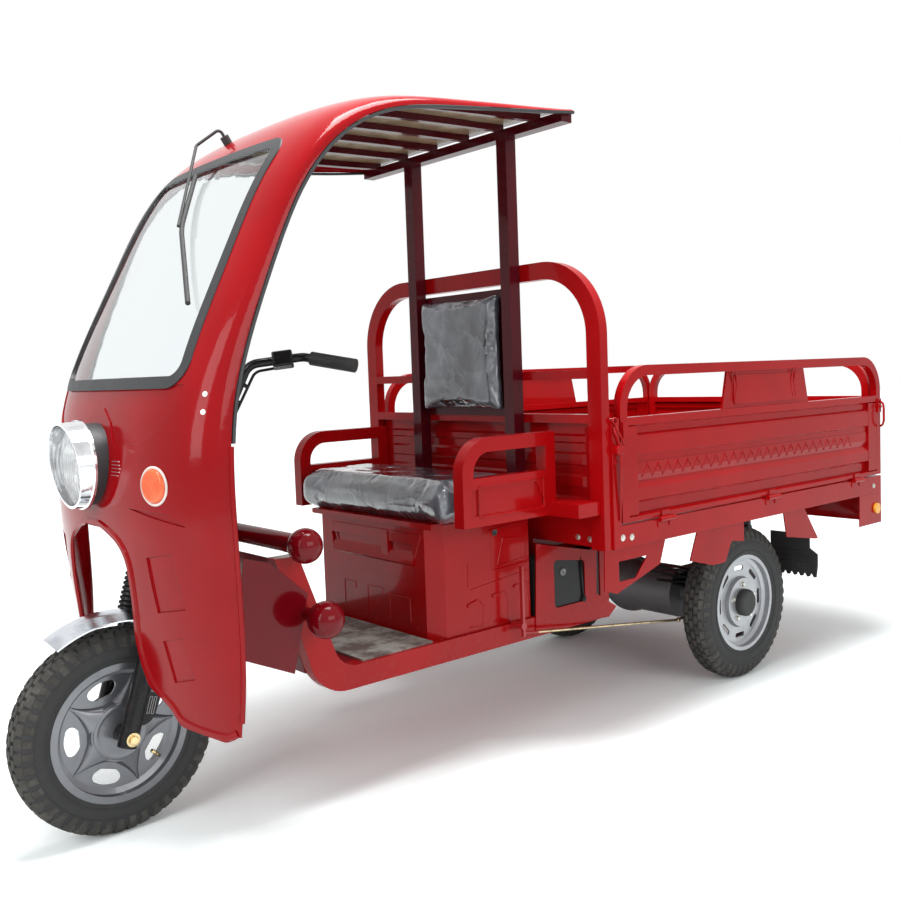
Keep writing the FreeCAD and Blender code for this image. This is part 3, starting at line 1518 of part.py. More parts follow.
def build_seat():
    low = s.rail_low_z + s.rail_tall + s.seat_gap
    outer = prism("XY", box_outline(0), low, s.box_top_z)
    hollow = prism("XY", box_outline(s.box_wall), low + s.box_wall, s.box_top_z + s.overrun)
    lid_low = s.box_top_z + s.lid_gap
    lid_top = lid_low + s.lid_thick
    hinge_x = s.box_rear_x - s.hinge_radius / 2
    hinge_z = lid_top + s.hinge_radius / 3
    half = s.lid_hinge_half
    lug = box(hinge_x - s.hinge_radius, s.box_rear_x, half + s.hinge_pin / 2,
              half + s.hinge_pin / 2 + s.hinge_radius * 2, s.box_top_z - s.lid_lip, hinge_z + s.hinge_radius)
    pin = rod("Y", s.hinge_pin, half * 2 + s.hinge_radius * 2, hinge_x, -half - s.hinge_radius,
              hinge_z)
    deep = s.box_pocket_deep
    face = s.box_front_x
    sill = s.box_pocket_low_z
    head = s.box_pocket_top_z
    edge = s.box_wall
    foot = s.box_pocket_half - s.box_pocket_slant
    pan = prism("YZ", [
        (-foot - edge, sill - edge), (foot + edge, sill - edge),
        (s.box_pocket_half + edge, head + edge), (-s.box_pocket_half - edge, head + edge),
    ], face - deep - edge, face)
    sunk = prism("YZ", [
        (-foot, sill), (foot, sill), (s.box_pocket_half, head), (-s.box_pocket_half, head),
    ], face - deep, face + s.overrun)
    hasp = prism("YZ", [
        (s.hasp_y - s.hasp_half, s.hasp_low_z, s.hasp_bend),
        (s.hasp_y + s.hasp_half, s.hasp_low_z, s.hasp_bend),
        (s.hasp_y + s.hasp_half, s.hasp_top_z, s.hasp_bend),
        (s.hasp_y - s.hasp_half, s.hasp_top_z, s.hasp_bend),
    ], face - deep, face + s.box_wall)
    finish(fuse(cut(fuse(cut(outer, hollow), pan), sunk), both_sides(lug), pin, hasp), "seat_box")
    lid_rear = s.box_rear_x + s.hinge_radius * 3 / 2
    lid = box(lid_rear, s.lid_front_x, -s.lid_half, s.lid_half, lid_low, lid_top)
    lip = box(s.lid_front_x - s.lid_thick, s.lid_front_x, -s.lid_half, s.lid_half,
              lid_low - s.lid_lip, lid_top)
    leaf = box(hinge_x, lid_rear + s.hinge_radius, -half, half, lid_top, lid_top + s.lid_thick)
    knuckle = rod("Y", s.hinge_radius, half * 2, hinge_x, -half, hinge_z)
    bore = rod("Y", s.hinge_pin + s.bearing_gap, half * 2 + s.overrun * 2, hinge_x,
               -half - s.overrun, hinge_z)
    finish(cut(fuse(lid, lip, leaf, knuckle), bore), "seat_lid")
    cushion_low = lid_low + s.lid_thick + s.seat_gap
    cushion = prism("XZ", [
        (s.cushion_rear_x, cushion_low),
        (s.cushion_front_x, cushion_low, s.cushion_bend / 2),
        (s.cushion_front_x, cushion_low + s.cushion_thick, s.cushion_bend),
        (s.cushion_rear_x, cushion_low + s.cushion_thick, s.cushion_bend),
    ], -s.cushion_half, s.cushion_half)
    finish(cushion, "seat_cushion")
    back_x = s.hoop_front_x + s.seat_gap
    back = prism("YZ", [
        (-s.back_half, s.back_low_z, s.cushion_bend),
        (s.back_half, s.back_low_z, s.cushion_bend),
        (s.back_half, s.back_top_z, s.cushion_bend),
        (-s.back_half, s.back_top_z, s.cushion_bend),
    ], back_x + s.back_board + s.seat_gap, back_x + s.back_board + s.back_thick)
    finish(back, "backrest_cushion")


def build_armrests():
    tube = s.arm_tube
    frame = prism("XZ", [
        (s.arm_rear_x, s.arm_low_z),
        (s.arm_front_x, s.arm_low_z),
        (s.arm_front_x, s.arm_top_z, s.arm_bend),
        (s.arm_rear_x, s.arm_top_z),
    ], s.arm_outer_y - tube, s.arm_outer_y, holes=[[
        (s.arm_rear_x + tube, s.arm_panel_z),
        (s.arm_front_x - tube, s.arm_panel_z),
        (s.arm_front_x - tube, s.arm_top_z - tube, s.arm_bend - tube),
        (s.arm_rear_x + tube, s.arm_top_z - tube),
    ]])
    panel = box(s.arm_rear_x + tube, s.arm_front_x - tube, s.arm_outer_y - tube - s.overrun,
                s.arm_outer_y - tube / 4, s.arm_low_z + tube, s.arm_panel_z - tube / 2)
    face = s.arm_outer_y - s.arm_panel_deep
    sunk = prism("XZ", [
        (s.arm_rear_x + tube, s.arm_low_z + tube * 3 / 4, s.cushion_bend / 2),
        (s.arm_front_x - tube * 3 / 4, s.arm_low_z + tube * 3 / 4, s.cushion_bend / 2),
        (s.arm_front_x - tube * 3 / 4, s.arm_panel_z - tube * 3 / 4, s.cushion_bend / 2),
        (s.arm_rear_x + tube * 2, s.arm_panel_z - tube * 3 / 4, s.cushion_bend / 2),
    ], face, s.arm_outer_y + s.overrun)
    link = box(s.hoop_front_x + s.seat_gap, s.arm_rear_x + tube, s.arm_outer_y - tube,
               hoop_half - s.hoop_wide + tube, s.arm_low_z, s.arm_low_z + tube)
    finish(both_sides(cut(fuse(frame, link), panel, sunk)), "armrests")


# Bed: frame and floor, front panel, headboard hoop and the three drop gates.
def build_bed():
    half = s.bed_half
    floor_low = s.bed_top_z - s.bed_floor_thick
    outer = box(s.bed_rear_x, s.bed_front_x, -half, half, s.bed_low_z, floor_low)
    hollow = box(s.bed_rear_x + s.bed_beam, s.bed_front_x - s.bed_beam, -half + s.bed_beam,
                 half - s.bed_beam, s.bed_low_z - s.overrun, s.bed_top_z)
    length = s.bed_front_x - s.bed_rear_x
    beams = [box(s.bed_rear_x + length * share / 4, s.bed_rear_x + length * share / 4 + s.bed_beam,
                 -half + s.bed_beam, half - s.bed_beam, s.bed_low_z, floor_low)
             for share in (1, 2, 3)]
    finish(fuse(cut(outer, hollow), *beams, *hinge_halves()), "bed_frame")
    floor = box(s.bed_rear_x, s.bed_front_x, -half, half, floor_low, s.bed_top_z)
    panel = box(s.bed_front_x - s.front_panel_thick, s.bed_front_x, -half, half, floor_low,
                s.gate_top_z)
    post = box(s.bed_front_x - s.corner_post, s.bed_front_x, half - s.gate_thick, half,
               floor_low, s.gate_top_z)
    finish(fuse(floor, panel, both_sides(post)), "bed_floor")


def build_hoop():
    front = s.hoop_front_x
    middle = front - s.hoop_deep / 2
    reach = hoop_half - s.hoop_wide / 2
    top = s.hoop_top_z - s.hoop_wide / 2
    hoop = bent_tube("YZ", [
        (-reach, s.bed_low_z), (-reach, top, s.hoop_bend), (reach, top, s.hoop_bend),
        (reach, s.bed_low_z),
    ], middle, "XY", (middle, -reach), (s.hoop_deep - s.seat_gap, s.hoop_wide), s.bed_low_z)
    bars = [box(front - s.hoop_deep + s.seat_gap, front, -reach, reach, z, z + s.hoop_bar)
            for z in (s.hoop_bar_low_z, s.hoop_bar_high_z)]
    finish(fuse(hoop, *bars), "headboard_hoop")


def hinge_places(start, end):
    span = end - start
    return [start + span * share / 8 for share in (1, 4, 7)]


def rail_plate(middle):
    """The pressed plate in the middle of a side gate's rail, with its raised panel."""
    half = s.rail_plate_half
    step = s.rail_plate_step
    low = s.gate_top_z - s.gate_skin
    top = s.gate_rail_z - s.gate_tube + s.gate_skin
    deep = (s.gate_thick - s.rail_plate_thick) / 2
    plate = prism("XZ", [
        (middle - half, low), (middle + half, low), (middle + half - step / 2, top),
        (middle - half + step / 2, top),
    ], -deep - s.rail_plate_thick, -deep)
    raised = prism("XZ", [
        (middle - half + step, low + s.gate_tube / 2, s.rail_plate_bend),
        (middle + half - step, low + s.gate_tube / 2, s.rail_plate_bend),
        (middle + half - step, top - s.gate_tube / 2, s.rail_plate_bend),
        (middle - half + step, top - s.gate_tube / 2, s.rail_plate_bend),
    ], -deep - s.rail_plate_thick / 2, -deep + s.rail_plate_thick / 2)
    return [plate, raised]


def build_gate(label, start, end, place, badge_plate=True):
    """A drop gate: pressed panel, rail above it and hinge knuckles below. The outline runs along
    the gate from start to end; place carries it to the side where it hangs."""
    low = s.bed_top_z + s.running_gap
    thick = s.gate_thick
    tube = s.gate_tube
    profile = [
        (0, s.gate_top_z), (0, s.gate_flange_z),
        (-s.gate_groove_deep, s.gate_groove_top_z), (-s.gate_groove_deep, s.gate_groove_low_z),
        (-s.gate_ledge_deep, s.gate_ledge_top_z), (-s.gate_ledge_deep, s.gate_ledge_low_z),
        (-s.gate_panel_deep, s.gate_panel_z), (-s.gate_panel_deep, s.gate_band_top_z),
        (-s.gate_band_deep, s.gate_band_top_z), (-s.gate_band_deep, s.gate_band_low_z),
        (-s.gate_field_deep, s.gate_field_top_z), (-s.gate_field_deep, s.gate_field_low_z),
        (0, s.gate_foot_z), (0, low),
    ]
    back = [(y - s.gate_skin, z) for y, z in reversed(profile)]
    skin = prism("YZ", profile + back, start + tube / 2, end - tube / 2)
    frame_top = box(start, end, -thick, -s.gate_skin / 2, s.gate_flange_z, s.gate_top_z)
    frame_low = box(start, end, -thick, -s.gate_skin / 2, low, s.gate_foot_z)
    pillars = [box(x, x + tube, -thick, 0, low, s.gate_top_z) for x in (start, end - tube)]
    rail = bent_tube("XZ", [
        (start + tube / 2, s.gate_top_z), (start + tube / 2, s.gate_rail_z - tube / 2,
                                           s.gate_rail_bend),
        (end - tube / 2, s.gate_rail_z - tube / 2, s.gate_rail_bend),
        (end - tube / 2, s.gate_top_z),
    ], thick / 2, "XY", (start + tube / 2, -thick / 2), (tube, thick), s.gate_top_z)
    pieces = [skin, frame_top, frame_low, *pillars, rail]
    if badge_plate:
        pieces += rail_plate((start + end) / 2)
    latch = s.latch_half
    pieces += [box(x - latch, x + latch, 0, s.latch_thick, s.gate_top_z - s.latch_long,
                   s.gate_top_z - latch) for x in (start + tube / 2, end - tube / 2)]
    for x in hinge_places(start, end):
        middle = s.hinge_length / 4
        near = s.running_gap / 4
        pieces.append(box(x - middle, x + middle, near, near + s.hinge_leaf, s.bed_top_z,
                          low + s.hinge_length / 4))
        pieces.append(box(x - middle, x + middle, 0, near + s.hinge_leaf, low + near * 2,
                          low + s.hinge_length / 4))
        knuckle = rod("X", s.hinge_knuckle, middle * 2, x - middle, s.hinge_knuckle + s.running_gap / 4,
                      s.bed_top_z)
        pin = rod("X", s.hinge_pin + s.bearing_gap, middle * 3, x - middle * 3 / 2,
                  s.hinge_knuckle + s.running_gap / 4, s.bed_top_z)
        pieces.append(cut(knuckle, pin))
    gate = fuse(*pieces)
    finish(gate, label, *place)
    return gate


def hinge_halves():
    """The fixed halves of the gates' hinges with their pins."""
    pieces = []
    out = s.hinge_knuckle + s.running_gap / 4
    quarter = s.hinge_length / 4
    start = s.bed_rear_x
    end = s.bed_front_x - s.corner_post - s.running_gap
    for x in hinge_places(start, end):
        y = s.bed_half + out
        pieces.append(rod("X", s.hinge_pin, s.hinge_length, x - quarter * 2, y, s.bed_top_z))
        for near in (x - quarter * 2, x + quarter + s.running_gap / 6):
            pieces.append(rod("X", s.hinge_knuckle, quarter - s.running_gap / 6, near, y,
                              s.bed_top_z))
            pieces.append(box(near, near + quarter - s.running_gap / 6, s.bed_half,
                              s.bed_half + s.hinge_leaf,
                              s.bed_top_z - s.hinge_length / 3, s.bed_top_z - s.bed_floor_thick))
    sides = [both_sides(piece) for piece in pieces]
    tail = []
    half = s.bed_half - s.gate_thick - s.running_gap
    x = s.bed_rear_x - out
    for y in hinge_places(-half, half):
        tail.append(rod("Y", s.hinge_pin, s.hinge_length, x, y - quarter * 2, s.bed_top_z))
        for near in (y - quarter * 2, y + quarter + s.running_gap / 6):
            tail.append(rod("Y", s.hinge_knuckle, quarter - s.running_gap / 6, x, near,
                            s.bed_top_z))
            tail.append(box(s.bed_rear_x - s.hinge_leaf, s.bed_rear_x, near,
                            near + quarter - s.running_gap / 6,
                            s.bed_top_z - s.hinge_length / 3, s.bed_top_z - s.bed_floor_thick))
    return sides + tail


def build_gates():
    start = s.bed_rear_x
    end = s.bed_front_x - s.corner_post - s.running_gap
    build_gate("gate_left", start, end, (0, s.bed_half, 0))
    right = build_gate("gate_right", -end, -start, (0, -s.bed_half, 0))
    right.Placement.Rotation = Rotation(Vector(0, 0, 1), 180)
    half = s.bed_half - s.gate_thick - s.running_gap
    tail = build_gate("tailgate", -half, half, (s.bed_rear_x, 0, 0), False)
    tail.Placement.Rotation = Rotation(Vector(0, 0, 1), 90)


# Running gear: rear axle with its motor, leaf springs, and the pieces hung under the bed.
def build_rear_axle():
    z = s.rear_tyre_radius
    drum_face = s.rear_track_half - s.drum_half - s.running_gap / 2
    tube = rod("Y", s.axle_tube_radius, drum_face * 2, 0, -drum_face, z)
    tip = s.rear_track_half + s.drum_half + s.disc_thick + s.cap_reach / 2
    shaft = rod("Y", s.axle_radius, tip * 2, 0, -tip, z)
    plate = rod("Y", s.back_plate_radius, s.back_plate_thick, 0,
                drum_face - s.back_plate_thick, z)
    motor = rod("Y", s.motor_radius, s.motor_half * 2, 0, s.diff_y, z)
    case = ball(s.diff_radius, 0, s.diff_y, z)
    finish(fuse(tube, shaft, both_sides(plate), motor, case), "rear_axle")


def build_leaf_springs():
    """Stacked leaves over the axle, each shorter than the one above, with shackles to the frame."""
    low_z = s.rear_tyre_radius + s.axle_tube_radius + s.seat_gap
    span = s.leaf_half_span
    rise = s.leaf_eye_z - low_z - s.leaf_thick * 4
    pieces = []
    for step in range(int(s.leaf_count.number)):
        share = (step + 1) / s.leaf_count.number
        base = low_z + s.leaf_thick * (step + 1 / 2)
        end_z = base + rise * share * share
        end_x = span * share
        pieces.append(bent_tube("XZ", [(-end_x, end_z), (0, base, span * s.leaf_bow_share), (end_x, end_z)],
                                -s.leaf_y, "YZ", (s.leaf_y, end_z),
                                (s.leaf_wide, s.leaf_thick), -end_x))
    for end in (-1, 1):
        x = span * end
        pieces.append(rod("Y", s.leaf_eye_radius, s.leaf_wide, x, s.leaf_y - s.leaf_wide / 2,
                          s.leaf_eye_z))
        pieces.append(box(x - s.leaf_eye_radius / 2, x + s.leaf_eye_radius / 2,
                          s.leaf_y - s.leaf_wide / 2, s.leaf_y + s.leaf_wide / 2, s.leaf_eye_z,
                          s.bed_low_z - s.upper_rail_tall - s.seat_gap))
    saddle = box(-s.leaf_wide, s.leaf_wide, s.leaf_y - s.leaf_wide / 2 - s.rim_wall,
                 s.leaf_y + s.leaf_wide / 2 + s.rim_wall, low_z, low_z + s.leaf_thick * 10)
    finish(both_sides(fuse(*pieces, saddle)), "leaf_springs")


def build_battery_boxes():
    tray = box(s.battery_rear_x + s.seat_gap, s.battery_front_x, s.battery_inner_y,
               s.battery_outer_y, s.rail_low_z + s.rail_tall + s.seat_gap,
               s.battery_top_z)
    finish(both_sides(tray), "battery_boxes")


def build_rear_brackets():
    """Folded steel brackets under the bed round each rear wheel, and the tail panels."""
    y = bracket_y
    top = s.bed_low_z - s.seat_gap
    window = prism("XZ", [
        (s.window_bracket_front_x, top), (s.window_bracket_nose_x, s.window_bracket_nose_z),
        (s.window_bracket_low_x, s.window_bracket_low_z),
        (s.window_bracket_rear_x, s.window_bracket_rear_z), (s.window_bracket_top_x, top),
    ], y, y + s.bracket_thick, holes=[[
        (s.bracket_window_front_x, s.bracket_window_top_z),
        (s.bracket_window_front_x, s.bracket_window_low_z),
        (s.bracket_window_toe_x, s.bracket_window_low_z),
        (s.bracket_window_rear_x, s.bracket_window_top_z),
    ]])
    front = prism("XZ", [
        (s.wheel_bracket_front_x, top), (s.wheel_bracket_nose_x, s.wheel_bracket_nose_z),
        (s.wheel_bracket_low_x, s.wheel_bracket_low_z),
        (s.wheel_bracket_heel_x, s.wheel_bracket_low_z),
        (s.wheel_bracket_arch_x, s.wheel_bracket_arch_z),
        (s.wheel_bracket_rear_x, s.wheel_bracket_rear_z), (s.wheel_bracket_rear_x, top),
    ], y, y + s.bracket_thick)
    rear_x = s.flap_rear_x
    rear = prism("XZ", [
        (s.flap_hanger_front_x, top), (s.flap_hanger_front_x - s.flap_hanger_lap,
                                       s.wheel_bracket_nose_z),
        (rear_x + s.flap_hanger_lap, s.wheel_bracket_low_z), (rear_x, s.wheel_bracket_low_z),
        (s.flap_hanger_rear_x, top),
    ], y, y + s.bracket_thick)
    tail = box(s.bed_rear_x, s.bed_rear_x + s.tail_panel_long, s.bed_half - s.tail_panel_thick,
               s.bed_half, s.tail_low_z, top)
    across = box(s.bed_rear_x, s.bed_rear_x + s.tail_panel_thick, -s.bed_half, s.bed_half,
                 s.tail_low_z, top)
    finish(fuse(both_sides(window), both_sides(front), both_sides(rear), both_sides(tail), across),
           "rear_brackets")
    inner = s.rear_track_half - s.flap_half_wide
    pitch = (y - s.seat_gap - inner) / 4
    teeth = []
    for tooth in range(4):
        teeth.append((inner + pitch * tooth, s.flap_low_z + s.flap_tooth_deep))
        teeth.append((inner + pitch * (tooth + 1 / 2), s.flap_low_z))
    flap = prism("YZ", [*teeth, (y - s.seat_gap, s.flap_low_z + s.flap_tooth_deep),
                        (y - s.seat_gap, s.flap_top_z), (inner, s.flap_top_z)],
                 rear_x - s.flap_thick, rear_x)
    finish(both_sides(flap), "mudflaps")
    marker = rod("Y", s.marker_radius, s.marker_thick,
                 s.bed_rear_x + s.tail_panel_long / 4, s.bed_half + s.seat_gap,
                 (s.tail_low_z + top) / 2)
    lamp = rod("X", s.marker_radius * 3 / 2, s.marker_thick, s.bed_rear_x - s.marker_thick - s.seat_gap,
               s.bed_half - s.marker_radius * 4, (s.tail_low_z + top) / 2)
    finish(both_sides(fuse(marker, lamp)), "tail_lamps")


def build_brake_pedal():
    x = s.pedal_x
    lever = box(x - s.rim_wall, x + s.rim_wall, s.pedal_y - s.axle_radius, s.pedal_y,
                s.pedal_pivot_z - s.axle_radius * 3, s.box_top_z - s.box_half / 2)
    pivot = rod("Y", s.axle_radius, s.pedal_y - s.rail_half - s.seat_gap, x,
                s.rail_half + s.seat_gap, s.pedal_pivot_z)
    rod_z = s.pedal_pivot_z - s.axle_radius * 2
    rod_y = s.pedal_y - s.axle_radius / 2
    link_y = s.rear_track_half - s.rear_tyre_half - s.axle_radius * 3 / 2
    end = point(s.rod_end_x, link_y, s.rod_end_z)
    link = by_code(round_tube([point(x, rod_y, rod_z), end], 0.0, number(s.rod_radius)))
    plate_y = s.rear_track_half - s.drum_half - s.running_gap / 2 - s.back_plate_thick
    anchor = point(s.back_plate_radius * 3 / 4, plate_y - s.rod_radius - s.seat_gap,
                   s.rear_tyre_radius)
    arm = by_code(round_tube([end, anchor], 0.0, number(s.rod_radius)))
    knuckle = ball(s.brake_arm_half * 2, s.rod_end_x, link_y, s.rod_end_z)
    finish(fuse(lever, pivot, link, arm, knuckle), "brake_pedal")


build_front_wheel()
for side in LEFT_AND_RIGHT:
    build_rear_wheel(side)
build_fork()
build_fork_springs()
build_front_mudguard()
build_handlebar()
build_cab()
build_cab_trim()
build_lamps()
build_roof_frame()
build_wiper()
build_main_frame()
build_bulkhead()
build_floor_mat()
build_seat()
build_armrests()
build_bed()
build_hoop()
build_gates()
build_rear_axle()
build_leaf_springs()
build_battery_boxes()
build_rear_brackets()
build_brake_pedal()
document.recompute()

failed = [f"{item.Name} {item.Label}" for item in document.Objects
          if {"Invalid", "Error"} & set(item.State)]
for label, item in nodes.items():
    shape = item.Shape
    if shape.isNull() or not shape.isValid():
        failed.append(label)
if failed:
    raise SystemExit("These pieces failed: " + ", ".join(failed))
os.makedirs("parts", exist_ok=True)
for label, item in nodes.items():
    item.Shape.exportStep(f"parts/{label}.step")
    print(f"{label}: {len(item.Shape.Solids)} solids, {item.Shape.Volume:.0f} mm3")
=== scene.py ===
"""An electric cargo tricycle with a half cab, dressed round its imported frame.

Lengths are metres. X points forward, Y to the rider's left and Z up.
"""
import logging
import math
from dataclasses import dataclass
from enum import Enum
from typing import Callable, Sequence

import bmesh
import bpy
from mathutils import Matrix, Vector, noise
from mathutils.bvhtree import BVHTree


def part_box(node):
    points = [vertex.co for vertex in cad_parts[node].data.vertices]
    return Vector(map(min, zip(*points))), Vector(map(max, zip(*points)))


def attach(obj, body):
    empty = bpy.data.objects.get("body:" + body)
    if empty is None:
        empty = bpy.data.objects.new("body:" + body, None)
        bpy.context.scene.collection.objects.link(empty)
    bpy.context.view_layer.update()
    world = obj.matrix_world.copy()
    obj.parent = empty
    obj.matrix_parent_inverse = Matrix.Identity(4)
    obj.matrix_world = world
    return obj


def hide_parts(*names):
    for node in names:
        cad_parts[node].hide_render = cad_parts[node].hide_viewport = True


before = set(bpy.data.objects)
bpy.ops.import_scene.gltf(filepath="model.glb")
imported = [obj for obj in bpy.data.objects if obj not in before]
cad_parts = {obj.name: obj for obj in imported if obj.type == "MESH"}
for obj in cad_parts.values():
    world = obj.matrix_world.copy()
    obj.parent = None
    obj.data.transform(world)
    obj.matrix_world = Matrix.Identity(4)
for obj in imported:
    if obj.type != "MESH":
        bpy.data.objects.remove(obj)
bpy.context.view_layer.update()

LOG = logging.getLogger("tricycle")
WHITE = (1.0, 1.0, 1.0)
AHEAD = Vector((1.0, 0.0, 0.0))
LEFTWARD = Vector((0.0, 1.0, 0.0))
Colour = tuple[float, float, float]
Pair = tuple[float, float]
Line = tuple[Pair, ...]
Spot = tuple[Vector, Vector]
Work = bmesh.types.BMesh


class Body(Enum):
    """The bodies that pieces ride on."""

    CHASSIS = "chassis"
    STEERING = "steering"
    FRONT_WHEEL = "front_wheel"
    REAR_LEFT = "rear_wheel_left"
    REAR_RIGHT = "rear_wheel_right"
    SEAT = "seat"
    LEFT_GATE = "left_gate"
    RIGHT_GATE = "right_gate"
    TAIL_GATE = "tail_gate"


class Side(Enum):
    """The vehicle's left and right, as the sign of Y."""

    LEFT = 1
    RIGHT = -1

    @property
    def tag(self) -> str:
        """The side as it ends a piece's name."""
        return self.name.lower()

    @property
    def out(self) -> Vector:
        """The direction away from the vehicle's middle."""
        return LEFTWARD * self.value


def operator(operation: str, swapped: bool = False) -> Callable[["Wire", "Wire | float"], "Wire"]:
    """Makes one of Wire's operators.

    Args:
        operation: The operation of the Math node that it adds.
        swapped: Whether the other value comes first.

    Returns:
        The method.
    """
    def join(wire: "Wire", other: "Wire | float") -> "Wire":
        """Adds the node."""
        first, second = (other, wire) if swapped else (wire, other)
        return wire.graph.node("ShaderNodeMath", {"operation": operation}, {0: first, 1: second})
    return join


class Wire:
    """A shader socket's value, on which Python's operators add Math nodes."""

    def __init__(self, graph: "Graph", socket: bpy.types.NodeSocket) -> None:
        """Wraps a socket of a graph."""
        self.graph = graph
        self.socket = socket

    __add__ = operator("ADD")
    __radd__ = operator("ADD", True)
    __sub__ = operator("SUBTRACT")
    __rsub__ = operator("SUBTRACT", True)
    __mul__ = operator("MULTIPLY")
    __rmul__ = operator("MULTIPLY", True)

    def size(self) -> "Wire":
        """Drops the sign."""
        return self.graph.node("ShaderNodeMath", {"operation": "ABSOLUTE"}, {0: self})

    def clamped(self) -> "Wire":
        """Limits the value to between 0 and 1."""
        return self.graph.node("ShaderNodeClamp", {}, {"Value": self})


class Graph:
    """Shader nodes, with one method that adds any node and a few that name common ones."""

    def __init__(self, name: str, owner: bpy.types.World | None = None) -> None:
        """Starts without nodes.

        Args:
            name: The name of the material to make.
            owner: The world to use in its place.
        """
        self.owner = owner or bpy.data.materials.new(name)
        self.owner.use_nodes = True
        self.tree = self.owner.node_tree
        self.tree.nodes.clear()

    def node(self, kind: str, settings: dict, inputs: dict, output: int | str = 0) -> Wire:
        """Adds a node, sets it up and feeds its sockets.

        Args:
            kind: The node's type.
            settings: Its properties; "stops" gives a ramp's places and colours.
            inputs: Values or links by socket name or number.
            output: The socket to read.

        Returns:
            The value of that socket.
        """
        item = self.tree.nodes.new(kind)
        for key, value in settings.items():
            if key == "stops":
                while len(item.color_ramp.elements) < len(value):
                    item.color_ramp.elements.new(1.0)
                for stop, (place, colour) in zip(item.color_ramp.elements, value):
                    stop.position = place
                    stop.color = (*colour, 1.0)
            else:
                setattr(item, key, value)
        for key, value in inputs.items():
            socket = item.inputs[key]
            if isinstance(value, Wire):
                self.tree.links.new(value.socket, socket)
            elif isinstance(value, tuple) and socket.type == "RGBA":
                socket.default_value = (*value, 1.0)
            else:
                socket.default_value = value
        return Wire(self, item.outputs[output])

    def place(self) -> Wire:
        """The point on the object, in its own frame."""
        return self.node("ShaderNodeTexCoord", {}, {}, "Object")

    def axis(self, name: str) -> Wire:
        """One coordinate of the point: X, Y or Z."""
        return self.node("ShaderNodeSeparateXYZ", {}, {0: self.place()}, name)

    def noise(self, scale: float, detail: float = 3.0, rough: float = 0.5,
              stretch: Colour = WHITE) -> Wire:
        """Smooth noise.

        Args:
            scale: Features per metre.
            detail: Octaves.
            rough: How strong the fine octaves are.
            stretch: A factor for each axis.

        Returns:
            Values round 0.5.
        """
        where = self.node("ShaderNodeVectorMath", {"operation": "MULTIPLY"},
                          {0: self.place(), 1: stretch})
        return self.node("ShaderNodeTexNoise", {}, {
            "Vector": where, "Scale": scale, "Detail": detail, "Roughness": rough}, "Fac")

    def creases(self, scale: float, detail: float, stretch: Colour, sharp: float) -> Wire:
        """Thin lines where noise crosses its middle, as wrap or foil creases; mixed into a colour
        they are painted glints along the creases.

        Args:
            scale: Features per metre.
            detail: Octaves.
            stretch: A factor for each axis.
            sharp: How thin the lines are.

        Returns:
            1 on the lines and 0 away from them.
        """
        value = self.noise(scale, detail, 0.55, stretch)
        return (1.0 - ((value * 2.0 - 1.0).size() * sharp)).clamped()

    def band(self, value: Wire, low: float, high: float) -> Wire:
        """A mask that rises smoothly from 0 at low to 1 at high."""
        return self.node("ShaderNodeMapRange", {"interpolation_type": "SMOOTHSTEP"}, {
            "Value": value, "From Min": low, "From Max": high}, "Result")

    def mix(self, factor: Wire | float, first: Wire | Colour, second: Wire | Colour) -> Wire:
        """Blends two colours."""
        return self.node("ShaderNodeMix", {"data_type": "RGBA"}, {
            0: factor, 6: first, 7: second}, 2)

    def bump(self, height: Wire, strength: float, distance: float, edge: float = 0.0) -> Wire:
        """A Bump node, over softened edges if asked.

        Args:
            height: The height map.
            strength: How much it counts.
            distance: Its depth in metres.
            edge: The radius of softened edges in metres.

        Returns:
            The normal.
        """
        inputs = {"Height": height, "Strength": strength, "Distance": distance}
        if edge > 0.0:
            inputs["Normal"] = self.node("ShaderNodeBevel", {"samples": 4}, {"Radius": edge})
        return self.node("ShaderNodeBump", {}, inputs)

    def finish(self, **values: "Wire | float | Colour") -> bpy.types.Material:
        """Adds the Principled shader and the output.

        Args:
            **values: Its sockets, with underscores for spaces.

        Returns:
            The finished material.
        """
        inputs = {key.replace("_", " "): value for key, value in values.items()}
        self.send(self.node("ShaderNodeBsdfPrincipled", {}, inputs))
        return self.owner

    def send(self, shader: Wire, output: str = "Material") -> None:
        """Sends a shader to the output."""
        item = self.tree.nodes.new(f"ShaderNodeOutput{output}")
        self.tree.links.new(shader.socket, item.inputs["Surface"])

    def when_seen(self, plain: Wire, seen: Wire) -> Wire:
        """One shader that lights, and another seen directly, in gloss and through glass."""
        eye, gloss, glass = (self.node("ShaderNodeLightPath", {}, {}, f"Is {ray} Ray")
                             for ray in ("Camera", "Glossy", "Transmission"))
        either = self.node("ShaderNodeMath", {"operation": "MAXIMUM"}, {0: eye, 1: gloss})
        share = self.node("ShaderNodeMath", {"operation": "MAXIMUM"}, {0: either, 1: glass})
        return self.node("ShaderNodeMixShader", {}, {0: share, 1: plain, 2: seen})


